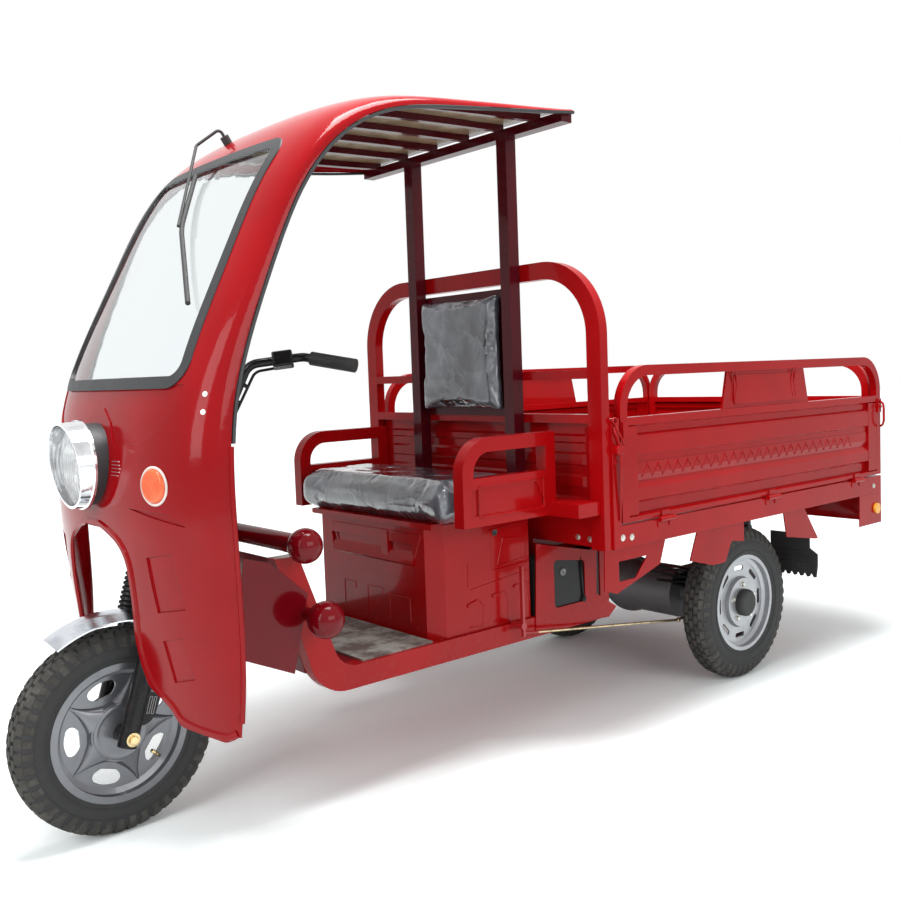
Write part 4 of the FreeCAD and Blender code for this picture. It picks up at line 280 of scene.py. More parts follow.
@dataclass(frozen=True)
class Paint:
    """Gloss paint on sheet steel or moulding, with dust low down and a slight orange peel."""

    name: str
    colour: Colour
    gloss: float = 0.24
    coat: float = 0.18
    metal: float = 0.0
    dust: float = 0.10
    dust_colour: Colour = (0.20, 0.10, 0.08)
    edge: float = 0.0015
    shine: float = 0.085

    def make(self) -> bpy.types.Material:
        """Builds the material."""
        graph = Graph(self.name)
        broad = graph.noise(6.0, 2.0)
        fine = graph.noise(55.0, 5.0, 0.6)
        shade = tuple(value * 0.90 for value in self.colour)
        colour = graph.mix(graph.band(broad, 0.35, 0.65), shade, self.colour)
        low = 1.0 - graph.band(graph.axis("Z"), 0.26, 0.46)
        mask = (low * graph.band(fine, 0.48, 0.72) * self.dust).clamped()
        colour = graph.mix(mask, colour, self.dust_colour)
        rough = (fine - 0.5) * 0.16 + self.gloss + mask * 0.5
        peel = graph.noise(420.0, 2.0)
        return graph.finish(
            Base_Color=colour, Roughness=rough.clamped(), Metallic=self.metal,
            Coat_Weight=self.coat, Coat_Roughness=0.05, Specular_IOR_Level=self.shine,
            Normal=graph.bump(peel, 0.05, 0.0005, self.edge))


@dataclass(frozen=True)
class Rubber:
    """Moulded rubber with a dusty bloom."""

    name: str
    colour: Colour
    rough: float = 0.7
    bloom: float = 0.35
    grain: float = 700.0

    def make(self) -> bpy.types.Material:
        """Builds the material."""
        graph = Graph(self.name)
        patch = graph.noise(22.0, 5.0, 0.6)
        pale = tuple(value * 2.2 + 0.015 for value in self.colour)
        colour = graph.mix(graph.band(patch, 0.42, 0.75) * self.bloom, self.colour, pale)
        return graph.finish(
            Base_Color=colour, Roughness=((patch - 0.5) * 0.3 + self.rough).clamped(),
            Normal=graph.bump(graph.noise(self.grain, 3.0), 0.3, 0.0004))


@dataclass(frozen=True)
class Metal:
    """Bare, polished or plated metal with smudges and fine scratches."""

    name: str
    colour: Colour
    rough: float = 0.18
    smudge: float = 0.12
    stretch: Colour = (1.0, 1.0, 12.0)
    edge: float = 0.0006

    def make(self) -> bpy.types.Material:
        """Builds the material."""
        graph = Graph(self.name)
        cloud = graph.noise(14.0, 4.0, 0.6)
        scratch = graph.noise(260.0, 2.0, 0.5, self.stretch)
        dark = tuple(value * 0.72 for value in self.colour)
        colour = graph.mix(graph.band(cloud, 0.4, 0.7), self.colour, dark)
        rough = self.rough + (cloud - 0.4) * self.smudge + (scratch - 0.5) * 0.08
        return graph.finish(
            Base_Color=colour, Metallic=1.0, Roughness=rough.clamped(),
            Normal=graph.bump(scratch, 0.08, 0.0002, self.edge))


@dataclass(frozen=True)
class Plastic:
    """Moulded plastic with a fine grain."""

    name: str
    colour: Colour
    rough: float = 0.45
    grain: float = 900.0
    depth: float = 0.15
    edge: float = 0.0006

    def make(self) -> bpy.types.Material:
        """Builds the material."""
        graph = Graph(self.name)
        patch = graph.noise(18.0, 4.0, 0.55)
        pale = tuple(min(1.0, value * 1.35 + 0.01) for value in self.colour)
        colour = graph.mix(graph.band(patch, 0.4, 0.75), self.colour, pale)
        return graph.finish(
            Base_Color=colour, Roughness=((patch - 0.5) * 0.25 + self.rough).clamped(),
            Normal=graph.bump(graph.noise(self.grain, 2.0), self.depth, 0.0003, self.edge))


@dataclass(frozen=True)
class Clear:
    """Clear glass or lens plastic with faint smears."""

    name: str
    colour: Colour
    rough: float = 0.02
    ripple: float = 0.0

    def make(self) -> bpy.types.Material:
        """Builds the material."""
        graph = Graph(self.name)
        smear = graph.noise(9.0, 4.0, 0.6)
        rough = (graph.band(smear, 0.5, 0.8) * 0.05 + self.rough).clamped()
        height = graph.noise(70.0, 1.0) if self.ripple > 0.0 else smear
        return graph.finish(
            Base_Color=self.colour, Roughness=rough, IOR=1.45, Transmission_Weight=1.0,
            Normal=graph.bump(height, max(self.ripple, 0.01), 0.001))


@dataclass(frozen=True)
class FlutedLens:
    """A clear lamp lens with upright flutes and a few level bars."""

    name: str
    flute: float = 0.0125

    def make(self) -> bpy.types.Material:
        """Builds the material."""
        graph = Graph(self.name)
        sides = graph.node("ShaderNodeMath", {"operation": "SINE"}, {
            0: graph.axis("Y") * (math.tau / self.flute)})
        bars = graph.node("ShaderNodeMath", {"operation": "SINE"}, {
            0: graph.axis("Z") * (math.tau / (self.flute * 3.0))})
        return graph.finish(
            Base_Color=WHITE, Roughness=0.03, IOR=1.45, Transmission_Weight=0.82,
            Normal=graph.bump(sides * 0.7 + bars * 0.3, 0.35, 0.004))


@dataclass(frozen=True)
class PedalSteel:
    """A plated rod that turns into a red lever at its front."""

    name: str
    rod: Colour
    lever: Colour
    change: float

    def make(self) -> bpy.types.Material:
        """Builds the material."""
        graph = Graph(self.name)
        front = graph.band(graph.axis("X"), self.change - 0.001, self.change)
        cloud = graph.noise(40.0, 4.0, 0.6)
        dark = tuple(value * 0.6 for value in self.rod)
        metal = graph.mix(graph.band(cloud, 0.4, 0.7), self.rod, dark)
        return graph.finish(
            Base_Color=graph.mix(front, metal, self.lever), Metallic=1.0 - front,
            Roughness=(cloud * 0.25 + 0.2).clamped(), Normal=graph.bump(cloud, 0.1, 0.0004))


@dataclass(frozen=True)
class WrappedLeather:
    """Dark leatherette seen through a creased clear wrap, with the wrap's reflection of the sky and
    its glints along the creases painted into the colour as a pale bluish sheen.
    """

    name: str
    colour: Colour = (0.032, 0.034, 0.042)
    # painted reflection: the pale bluish tone of the wrap's painted sheen
    painted_sheen: Colour = (0.165, 0.18, 0.21)

    def make(self) -> bpy.types.Material:
        """Builds the material."""
        graph = Graph(self.name)
        cloud = graph.noise(4.5, 2.0, 0.5, (1.0, 1.5, 1.0))
        long_fold_and_glint = graph.creases(3.5, 1.5, (2.4, 0.7, 1.0), 13.0)
        cross_fold_and_glint = graph.creases(8.0, 2.0, (0.7, 1.8, 1.4), 11.0)
        # painted reflection and painted glints: pale cloudy patches and pale lines along the
        # creases blend the dark colour towards the sheen tone; the creases also raise the bump
        painted_sheen_patches = graph.band(cloud, 0.38, 0.62) * 0.50
        painted_sheen = (painted_sheen_patches + long_fold_and_glint * 0.40 + cross_fold_and_glint * 0.20 + 0.08).clamped()
        colour = graph.mix(painted_sheen, self.colour, self.painted_sheen)
        rough = (graph.band(cloud, 0.35, 0.7) * 0.20 + 0.12).clamped()
        height = long_fold_and_glint * 0.6 + cross_fold_and_glint * 0.35 + cloud * 0.8
        return graph.finish(
            Base_Color=colour, Roughness=rough, Coat_Weight=1.0, Coat_Roughness=0.10,
            Normal=graph.bump(height, 0.45, 0.006))


@dataclass(frozen=True)
class WornMat:
    """A ribbed floor mat, grey where feet have worn it and brown at its edges."""

    name: str
    colour: Colour = (0.34, 0.33, 0.30)
    dirt: Colour = (0.10, 0.07, 0.06)

    def make(self) -> bpy.types.Material:
        """Builds the material."""
        graph = Graph(self.name)
        patch = graph.noise(14.0, 6.0, 0.65)
        speck = graph.noise(180.0, 3.0, 0.6)
        colour = graph.mix(graph.band(patch, 0.38, 0.62), self.dirt, self.colour)
        colour = graph.mix(graph.band(speck, 0.58, 0.7) * 0.5, colour, self.dirt)
        return graph.finish(
            Base_Color=colour, Roughness=(patch * 0.4 + 0.5).clamped(),
            Normal=graph.bump(speck, 0.5, 0.001))


class Finish(Enum):
    """The finishes of the vehicle by use."""

    RED = Paint("red_gloss_paint", (0.385, 0.0025, 0.004))
    CAB_RED = Paint("red_moulded_shell", (0.33, 0.002, 0.005), gloss=0.14)
    BALL_RED = Paint("deep_red_enamel", (0.17, 0.002, 0.006), gloss=0.14)
    # painted shade: a darker copy of the red paint for the roof ribs and posts, standing in for the
    # roof's shadow on them
    DARK_RED = Paint("dark_red_paint", (0.085, 0.004, 0.009), gloss=0.25)
    BLACK = Paint("black_gloss_paint", (0.012, 0.012, 0.013), gloss=0.28, dust=0.1)
    STEEL_BLACK = Paint("black_chassis_paint", (0.02, 0.02, 0.02), gloss=0.5, coat=0.2)
    WHEEL_GREY = Paint("grey_wheel_paint", (0.17, 0.175, 0.19), gloss=0.34, metal=0.55, coat=0.5)
    WHEEL_SILVER = Paint("silver_wheel_paint", (0.40, 0.41, 0.43), gloss=0.36, metal=0.6,
                         coat=0.4)
    CAST = Paint("grey_cast_housing", (0.22, 0.22, 0.23), gloss=0.55, metal=0.5, coat=0.0)
    TYRE = Rubber("tyre_rubber", (0.022, 0.022, 0.023), 0.78)
    TREAD = Rubber("dusty_tread_rubber", (0.040, 0.038, 0.034), 0.85, 0.9)
    TRIM_RUBBER = Rubber("trim_rubber", (0.02, 0.021, 0.023), 0.5, 0.2)
    GRIP_RUBBER = Rubber("grip_rubber", (0.012, 0.012, 0.012), 0.55, 0.15)
    FLAP_RUBBER = Rubber("flap_rubber", (0.018, 0.018, 0.018), 0.6, 0.3)
    CHROME = Metal("bright_chrome", (0.86, 0.87, 0.89), 0.05, 0.05)
    GUARD = Metal("polished_guard", (0.74, 0.77, 0.82), 0.16, 0.14)
    BRASS = Metal("brass_fitting", (0.60, 0.46, 0.25), 0.25)
    ZINC = Metal("zinc_plated_steel", (0.55, 0.54, 0.50), 0.32)
    BLACK_PLASTIC = Plastic("black_plastic", (0.015, 0.015, 0.016), 0.42)
    BEIGE = Plastic("beige_roof_lining", (0.36, 0.31, 0.19), 0.2, 60.0, 0.04)
    SILVER_LINE = Paint("silver_stripe", (0.55, 0.55, 0.57), gloss=0.3, metal=0.7, coat=0.3,
                        dust=0.0)
    WHITE_LINE = Paint("white_outline", (0.75, 0.75, 0.75), gloss=0.4, coat=0.0, dust=0.0)
    PALE_BEZEL = Plastic("pale_bezel", (0.72, 0.66, 0.62), 0.35)
    ORANGE = Plastic("orange_lens", (0.85, 0.13, 0.03), 0.12, 300.0, 0.05)
    AMBER = Plastic("amber_lens", (0.90, 0.38, 0.03), 0.15, 300.0, 0.05)
    GLASS = Clear("windscreen_pane", (0.88, 0.93, 0.94))
    LENS = FlutedLens("lamp_lens")
    PEDAL = PedalSteel("plated_rod_red_lever", (0.62, 0.50, 0.30), (0.34, 0.01, 0.012), 0.150)
    CUSHION = WrappedLeather("wrapped_leatherette")
    MAT = WornMat("worn_floor_mat")

    def material(self) -> bpy.types.Material:
        """The finish's material, made once."""
        found = bpy.data.materials.get(self.value.name)
        return found or self.value.make()


def dress(finish: Finish, *nodes: str) -> None:
    """Gives CAD nodes a finish.

    Args:
        finish: The finish.
        *nodes: The nodes' names.
    """
    for name in nodes:
        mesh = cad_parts[name].data
        mesh.materials.clear()
        mesh.materials.append(finish.material())
        LOG.info("dressed %s with %s", name, finish.value.name)


def soften(mesh: bpy.types.Mesh, angle: float) -> None:
    """Shades a mesh smooth except at edges sharper than an angle in degrees."""
    mesh.polygons.foreach_set("use_smooth", [True] * len(mesh.polygons))
    mesh.set_sharp_from_angle(angle=math.radians(angle))


def add_piece(name: str, fill: Callable[[Work], None], finish: Finish, body: Body,
              smooth: bool = True, edge: float | None = None) -> bpy.types.Object:
    """Makes a piece that rides on a body.

    Args:
        name: The piece's name.
        fill: What fills its empty bmesh, in the vehicle's frame.
        finish: Its finish.
        body: The body it rides on.
        smooth: Whether its faces are shaded smooth.
        edge: The angle in degrees from which its edges stay sharp, if they do.

    Returns:
        The piece.
    """
    work = bmesh.new()
    fill(work)
    bmesh.ops.recalc_face_normals(work, faces=work.faces)
    mesh = bpy.data.meshes.new(name)
    work.to_mesh(mesh)
    work.free()
    piece = bpy.data.objects.new(name, mesh)
    bpy.context.scene.collection.objects.link(piece)
    mesh.materials.append(finish.material())
    mesh.polygons.foreach_set("use_smooth", [smooth] * len(mesh.polygons))
    if edge is not None:
        soften(mesh, edge)
    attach(piece, body.value)
    LOG.info("built %s: %d faces on %s", name, len(mesh.polygons), body.value)
    return piece


def skin(work: Work, rings: Sequence[Sequence[Vector]], closed: bool = True,
         wrap: bool = False, caps: bool = False) -> None:
    """Joins rings of points with faces.

    Args:
        work: The bmesh to fill.
        rings: Rings with the same number of points.
        closed: Whether each ring closes on itself.
        wrap: Whether the last ring joins the first.
        caps: Whether the first and last rings are filled.
    """
    made = [[work.verts.new(point) for point in ring] for ring in rings]
    pairs = list(zip(made, made[1:] + made[:1]))
    if not wrap:
        pairs.pop()
    for first, second in pairs:
        steps = range(len(first) if closed else len(first) - 1)
        for step in steps:
            after = (step + 1) % len(first)
            work.faces.new((first[step], first[after], second[after], second[step]))
    if caps:
        work.faces.new(made[0])
        work.faces.new(list(reversed(made[-1])))


def around(side: Vector, other: Vector, steps: int) -> list[Vector]:
    """Directions round a circle that starts at one direction and turns towards another."""
    return [side * math.cos(math.tau * step / steps) + other * math.sin(math.tau * step / steps)
            for step in range(steps)]


def turned(work: Work, profile: Sequence[Pair], centre: Vector, axis: Vector,
           steps: int = 64) -> None:
    """Revolves a profile of distances from and along an axis.

    Args:
        work: The bmesh to fill.
        profile: Radius and distance along the axis, as a closed outline.
        centre: The axis' zero point.
        axis: Its direction.
        steps: Points round the axis.
    """
    side = axis.orthogonal().normalized()
    skin(work, [[centre + out * radius + axis * along for radius, along in profile]
                for out in around(side, axis.cross(side).normalized(), steps)], wrap=True)


def tube(work: Work, path: Sequence[Vector], radius: float, steps: int = 12) -> None:
    """A round bar through points.

    Args:
        work: The bmesh to fill.
        path: The middle line.
        radius: The bar's radius.
        steps: Points round it.
    """
    rings = []
    side = (path[1] - path[0]).orthogonal().normalized()
    for place, point in enumerate(path):
        before = path[max(0, place - 1)]
        after = path[min(len(path) - 1, place + 1)]
        run = (after - before).normalized()
        side = (side - run * side.dot(run)).normalized()
        rings.append([point + out * radius for out in around(side, run.cross(side), steps)])
    skin(work, rings, caps=True)


def node_box(name: str) -> tuple[Vector, Vector, Vector]:
    """The low corner, high corner and centre of a CAD node."""
    low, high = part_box(name)
    return low, high, (low + high) / 2


class Surface:
    """The skin of a CAD node, which trim is set on. Rays start well outside the vehicle."""

    ahead: float = 4.0
    beside: float = 3.0

    def __init__(self, node: str) -> None:
        """Reads a node's faces.

        Args:
            node: The node's name.
        """
        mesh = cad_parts[node].data
        self.tree = BVHTree.FromPolygons([vert.co for vert in mesh.vertices],
                                         [tuple(face.vertices) for face in mesh.polygons])

    def hit(self, start: Vector, way: Vector) -> Spot | None:
        """The first point of the skin along a line, and the skin's direction there.

        Args:
            start: Where the line starts.
            way: Its direction.

        Returns:
            The point and the outward normal, or None where the line misses.
        """
        point, normal, _, _ = self.tree.ray_cast(start, way)
        if point is None:
            return None
        return point, normal if normal.dot(way) < 0.0 else -normal

    def from_ahead(self, across: float, up: float) -> Spot | None:
        """The point seen from the front at a place across and up."""
        return self.hit(Vector((self.ahead, across, up)), -AHEAD)

    def from_side(self, side: Side, along: float, up: float) -> Spot | None:
        """The point seen from the left or right at a place along and up."""
        return self.hit(Vector((along, side.value * self.beside, up)), -side.out)

    def front_line(self, line: Sequence[Pair]) -> list[Spot]:
        """The points of a line given across and up, without those that miss."""
        return [found for across, up in line if (found := self.from_ahead(across, up))]

    def side_line(self, side: Side, line: Sequence[Pair]) -> list[Spot]:
        """The points of a line given along and up, without those that miss."""
        return [found for along, up in line if (found := self.from_side(side, along, up))]


def ribbon(work: Work, spots: Sequence[Spot], wide: float, height: float,
           sink: float = 0.0004) -> None:
    """A low raised band with a flat top and sloped sides, laid along points of a skin.

    Args:
        work: The bmesh to fill.
        spots: Points of the skin and its normals there.
        wide: The band's width.
        height: How far it stands proud.
        sink: How far its edges reach into the skin.
    """
    rings = []
    for place, (point, normal) in enumerate(spots):
        before = spots[max(0, place - 1)][0]
        after = spots[min(len(spots) - 1, place + 1)][0]
        side = (after - before).cross(normal).normalized() * (wide / 2)
        low, top = point - normal * sink, point + normal * height
        rings.append([low - side, top - side * 0.55, top + side * 0.55, low + side])
    skin(work, rings, caps=True)


def ribbons(work: Work, spots: Sequence[Spot], wide: float, height: float) -> None:
    """A raised band of its own between each point of a skin and the next."""
    for pair in zip(spots, spots[1:]):
        ribbon(work, pair, wide, height)


def prism(work: Work, outline: Sequence[Vector], run: Vector) -> None:
    """A straight bar of any section.

    Args:
        work: The bmesh to fill.
        outline: The section's corners at one end.
        run: The way to the other end, and how far.
    """
    skin(work, [outline, [point + run for point in outline]], caps=True)


def eased(points: Sequence[Pair], rounds: int = 3) -> list[Pair]:
    """Rounds a line's corners by cutting them again and again.

    Args:
        points: The line's corners.
        rounds: How often they are cut.

    Returns:
        The smoother line.
    """
    line = list(points)
    for _ in range(rounds):
        cut = [line[0]]
        for (ax, ay), (bx, by) in zip(line, line[1:]):
            cut.append((ax * 0.75 + bx * 0.25, ay * 0.75 + by * 0.25))
            cut.append((ax * 0.25 + bx * 0.75, ay * 0.25 + by * 0.75))
        line = cut + [line[-1]]
    return line


@dataclass(frozen=True)
class Bolt:
    """A hexagon head on a round washer, with its face along a normal."""

    radius: float = 0.007
    tall: float = 0.005

    def add(self, work: Work, point: Vector, normal: Vector) -> None:
        """Adds the bolt.

        Args:
            work: The bmesh to fill.
            point: Its foot on the skin.
            normal: The way it faces.
        """
        foot = point - normal * 0.0006
        washer = self.radius * 1.45
        side = normal.orthogonal().normalized()
        other = normal.cross(side)
        for steps, outline in ((20, ((washer, 0.0), (washer, 0.0014), (washer * 0.85, 0.0018))),
                               (6, ((self.radius, 0.001), (self.radius, self.tall),
                                    (self.radius * 0.82, self.tall + 0.001)))):
            skin(work, [[foot + normal * high + out * wide for out in around(side, other, steps)]
                        for wide, high in outline], caps=True)


@dataclass(frozen=True)
class TreadRow:
    """A row of tread blocks on each side of the crown.

    Places and widths are shares of half the tyre's width, lengths of the pitch.
    """

    place: float
    long: float
    wide: float
    sink: float
    fall: float
    shift: float = 0.0


@dataclass
class Tyre:
    """A tyre with its carcass, side rings and moulded tread blocks.

    The carcass is a turned profile; the blocks are raised pads on its crown and shoulders.
    """

    node: str
    body: Body
    blocks: int = 46
    block_height: float = 0.0062
    groove: float = 0.0050
    ring_height: float = 0.0012
    steps: int = 116
    bead: float = 0.1575
    ring_spots: Line = ((0.021, 0.985), (0.049, 0.965))
    crown_block: Pair = (0.86, 0.30)
    rows: tuple[TreadRow, ...] = (
        TreadRow(0.37, 0.90, 0.27, 0.0008, 0.0014, 0.5), TreadRow(0.69, 0.92, 0.27, 0.003, 0.0112),
        TreadRow(0.905, 0.62, 0.13, 0.017, 0.016))

    def sizes(self) -> tuple[Vector, float, float]:
        """The centre, the outer radius and half the width of the CAD tyre."""
        low, high, centre = node_box(self.node)
        return centre, (high.z - low.z) / 2, (high.y - low.y) / 2

    def profile(self, radius: float, half: float, inner: float) -> list[Pair]:
        """The carcass' outline from one bead over the crown to the other."""
        crown = radius - self.block_height
        wall = [(inner, 0.78), (inner + 0.006, 0.86), (inner + 0.018, 0.97),
                (inner + 0.030, 1.0), (inner + 0.042, 0.99), (crown - 0.030, 0.95),
                (crown - 0.014, 0.84), (crown - 0.004, 0.66), (crown - 0.0005, 0.40)]
        right = [(distance, -share * half) for distance, share in wall]
        left = [(distance, share * half) for distance, share in reversed(wall)]
        return right + [(crown, 0.0)] + left

    def pad(self, work: Work, centre: Vector, radius: float, turn: float,
            along: float, size: Pair, drop: float) -> None:
        """One tread block: a chamfered pad that follows the tyre's curve.

        Args:
            work: The bmesh to fill.
            centre: The wheel's centre.
            radius: The radius of the block's top.
            turn: Its place round the wheel.
            along: Its place across the tread.
            size: Its length round the wheel and its width.
            drop: How far its outer edge falls.
        """
        rings = []
        for inset, height in ((0.0, -self.block_height * 1.6), (0.0, -self.groove * 0.4),
                              (self.groove * 0.35, 0.0)):
            ring = []
            for round_sign, cross_sign in ((-1, -1), (1, -1), (1, 1), (-1, 1)):
                round_way = turn + round_sign * (size[0] / 2 - inset) / radius
                across = along + cross_sign * (size[1] / 2 - inset)
                fall = drop * (cross_sign * math.copysign(1.0, along) + 1) / 2 if along else 0.0
                reach = radius + height - fall
                ring.append(centre + Vector((math.cos(round_way) * reach, across,
                                             math.sin(round_way) * reach)))
            rings.append(ring)
        skin(work, rings, caps=True)

    def build(self) -> None:
        """Makes the tyre and hides the plain one."""
        centre, radius, half = self.sizes()

        def fill(work: Work) -> None:
            """Fills the tyre's mesh."""
            turned(work, self.profile(radius, half, self.bead), centre, LEFTWARD, self.steps)
            for rise, share in self.ring_spots:
                ring_radius = self.bead + rise
                for sign in (-1, 1):
                    face = half * share
                    turned(work, [
                        (ring_radius - 0.0016, sign * (face - 0.004)),
                        (ring_radius + 0.0016, sign * (face - 0.004)),
                        (ring_radius + 0.0008, sign * (face + self.ring_height)),
                        (ring_radius - 0.0008, sign * (face + self.ring_height)),
                    ], centre, LEFTWARD, self.steps)

        def tread(work: Work) -> None:
            """Fills the tread blocks."""
            pitch = math.tau / self.blocks
            length = radius * pitch - self.groove
            for count in range(self.blocks):
                turn = count * pitch
                long, wide = self.crown_block
                self.pad(work, centre, radius, turn, 0.0, (length * long, half * wide), 0.0)
                for sign in (-1, 1):
                    for row in self.rows:
                        self.pad(work, centre, radius - row.sink, turn + pitch * row.shift,
                                 sign * half * row.place, (length * row.long, half * row.wide),
                                 row.fall)

        piece = add_piece(f"{self.node}_moulded", fill, Finish.TYRE, self.body, edge=40.0)
        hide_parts(self.node)
        add_piece(f"{self.node}_tread", tread, Finish.TREAD, self.body, smooth=False)


@dataclass
class Wheels:
    """The three wheels: tyres, discs, caps, valves and the raised star of the front disc."""

    arms: int = 5
    arm_root: float = 0.060
    arm_tip: float = 0.139
    arm_root_half: float = 0.043
    arm_tip_half: float = 0.0045
    arm_foot: float = 0.0150
    arm_root_top: float = 0.0345
    arm_tip_top: float = 0.0185
    arm_bend: float = 1.7
    star_ring: Line = ((0.020, 0.030), (0.066, 0.030), (0.066, 0.0345), (0.062, 0.0365),
                       (0.057, 0.0355), (0.052, 0.0350), (0.030, 0.0375), (0.020, 0.0375))
    valve_turn: float = math.radians(-138.0)
    valve_foot: Pair = (0.138, 0.014)
    valve_tip: Pair = (0.100, 0.034)
    nut_circle: float = 0.062
    nuts: int = 5
    nut: Bolt = Bolt(0.0075, 0.007)

    def middle(self) -> Vector:
        """The front wheel's centre, on the vehicle's middle plane."""
        centre = node_box("front_tyre")[2]
        return Vector((centre.x, 0.0, centre.z))

    def star(self) -> None:
        """Lays the pressed star between the front disc's windows, with its ring and hub nut."""
        centre = self.middle()
        steps = 9

        def fill(work: Work) -> None:
            """Fills the arms and the ring."""
            for arm in range(self.arms):
                turn = math.tau * (arm + 0.5) / self.arms
                out = Vector((math.cos(turn), 0.0, math.sin(turn)))
                side = Vector((-math.sin(turn), 0.0, math.cos(turn)))
                rings = []
                for step in range(steps):
                    share = step / (steps - 1)
                    reach = self.arm_root + (self.arm_tip - self.arm_root) * share
                    half = self.arm_tip_half + (self.arm_root_half - self.arm_tip_half) * (
                        (1.0 - share) ** self.arm_bend)
                    top = self.arm_root_top + (self.arm_tip_top - self.arm_root_top) * share
                    middle = centre + out * reach
                    rings.append([middle + side * half * wide + Vector((0, high, 0))
                                  for wide, high in ((-1.0, self.arm_foot), (-0.72, top - 0.0025),
                                                     (-0.45, top), (0.45, top),
                                                     (0.72, top - 0.0025), (1.0, self.arm_foot))])
                skin(work, rings, caps=True)
            turned(work, self.star_ring, centre, LEFTWARD, 72)

        add_piece("front_star", fill, Finish.WHEEL_GREY, Body.FRONT_WHEEL, edge=42.0)

    def valve(self) -> None:
        """The front wheel's valve stem with its cap, leaning out of the rim."""
        out = Vector((math.cos(self.valve_turn), 0.0, math.sin(self.valve_turn)))
        foot, tip = (self.middle() + out * reach + LEFTWARD * across
                     for reach, across in (self.valve_foot, self.valve_tip))

        def fill(work: Work) -> None:
            """Fills the stem and its cap."""
            run = tip - foot
            tube(work, [foot, foot + run * 0.6], 0.0038)
            tube(work, [foot + run * 0.55, foot + run * 0.62, tip], 0.0050)
        add_piece("valve_stem", fill, Finish.BRASS, Body.FRONT_WHEEL)

    def wheel_nuts(self, side: Side, body: Body) -> None:
        """The nuts round a rear wheel's cap.

        Args:
            side: Which wheel.
            body: The body it turns with.
        """
        disc = Surface(f"rear_wheel_disc_{side.tag}")
        middle = node_box(f"rear_wheel_disc_{side.tag}")[2]

        def fill(work: Work) -> None:
            """Fills the nuts."""
            for count in range(self.nuts):
                turn = math.tau * (count + 0.25) / self.nuts
                found = disc.from_side(side, middle.x + math.cos(turn) * self.nut_circle,
                                       middle.z + math.sin(turn) * self.nut_circle)
                if found:
                    self.nut.add(work, found[0], side.out)
        add_piece(f"wheel_nuts_{side.tag}", fill, Finish.ZINC, body, smooth=False)

    def build(self) -> None:
        """Builds the tyres and dresses the discs."""
        Tyre("front_tyre", Body.FRONT_WHEEL).build()
        Tyre("rear_tyre_left", Body.REAR_LEFT).build()
        Tyre("rear_tyre_right", Body.REAR_RIGHT).build()
        dress(Finish.WHEEL_GREY, "front_wheel_disc")
        dress(Finish.WHEEL_SILVER, "rear_wheel_disc_left", "rear_wheel_disc_right")
        dress(Finish.BLACK_PLASTIC, "hub_cap_left", "hub_cap_right")
        self.star()
        self.valve()
        self.wheel_nuts(Side.LEFT, Body.REAR_LEFT)
        self.wheel_nuts(Side.RIGHT, Body.REAR_RIGHT)


@dataclass
class Steering:
    """Fork, springs, mudguard and bar.

    The cover's outline is given as distances up the leg from the axle and behind it.
    """

    axle: Vector = Vector((1.26675, 0.0, 0.248))
    rake: float = math.radians(17.1)
    cover: Line = (
        (0.028, 0.004), (0.034, 0.034), (0.062, 0.050), (0.205, 0.052), (0.246, 0.034),
        (0.256, 0.004))
    cover_inner: float = 0.0915
    cover_outer: float = 0.0955
    outline_size: Pair = (0.0014, 0.0004)
    nut: Bolt = Bolt(0.0115, 0.009)
    bars: tuple[tuple[float, float, float, float], ...] = (
        (0.060, 0.100, 0.024, 0.030), (0.060, 0.100, 0.035, 0.041), (0.112, 0.150, 0.024, 0.041))

    def spot(self, up: float, behind: float, across: float) -> Vector:
        """A point from its distances up the leg, behind it and across."""
        along = Vector((-math.sin(self.rake), 0.0, math.cos(self.rake)))
        back = Vector((-math.cos(self.rake), 0.0, -math.sin(self.rake)))
        return self.axle + along * up + back * behind + Vector((0.0, across, 0.0))

    def covers(self, side: Side) -> None:
        """The flat cover beside a fork leg, with its white outlines.

        Args:
            side: Which leg.
        """
        outline = eased((*self.cover, self.cover[0]), 2)[:-1]

        def plate(work: Work) -> None:
            """Fills the cover."""
            rings = [[self.spot(up, behind, side.value * across) for up, behind in outline]
                     for across in (self.cover_inner, self.cover_outer)]
            skin(work, rings, caps=True)
        add_piece(f"fork_cover_{side.tag}", plate, Finish.BLACK, Body.STEERING,
                  smooth=False)

        def lines(work: Work) -> None:
            """Fills the outlines."""
            for low, high, near, far in self.bars:
                corners = ((low, near), (high, near), (high, far), (low, far), (low, near))
                ribbons(work, [(self.spot(up, behind, side.value * self.cover_outer), side.out)
                               for up, behind in corners], *self.outline_size)
        add_piece(f"fork_outlines_{side.tag}", lines, Finish.WHITE_LINE, Body.STEERING,
                  smooth=False)

    def axle_nuts(self) -> None:
        """The brass nuts on the front axle's ends."""
        fork = Surface("fork")

        def fill(work: Work) -> None:
            """Fills the nuts."""
            for side in Side:
                found = fork.from_side(side, self.axle.x, self.axle.z)
                if found:
                    self.nut.add(work, found[0], side.out)
        add_piece("axle_nuts", fill, Finish.BRASS, Body.STEERING, smooth=False)

    def build(self) -> None:
        """Dresses the CAD pieces and adds the covers and nuts."""
        for side in Side:
            self.covers(side)
        self.axle_nuts()
        dress(Finish.BLACK, "fork", "handlebar")
        dress(Finish.STEEL_BLACK, "fork_springs")
        dress(Finish.GUARD, "front_mudguard")
        dress(Finish.GRIP_RUBBER, "handlebar_grips")


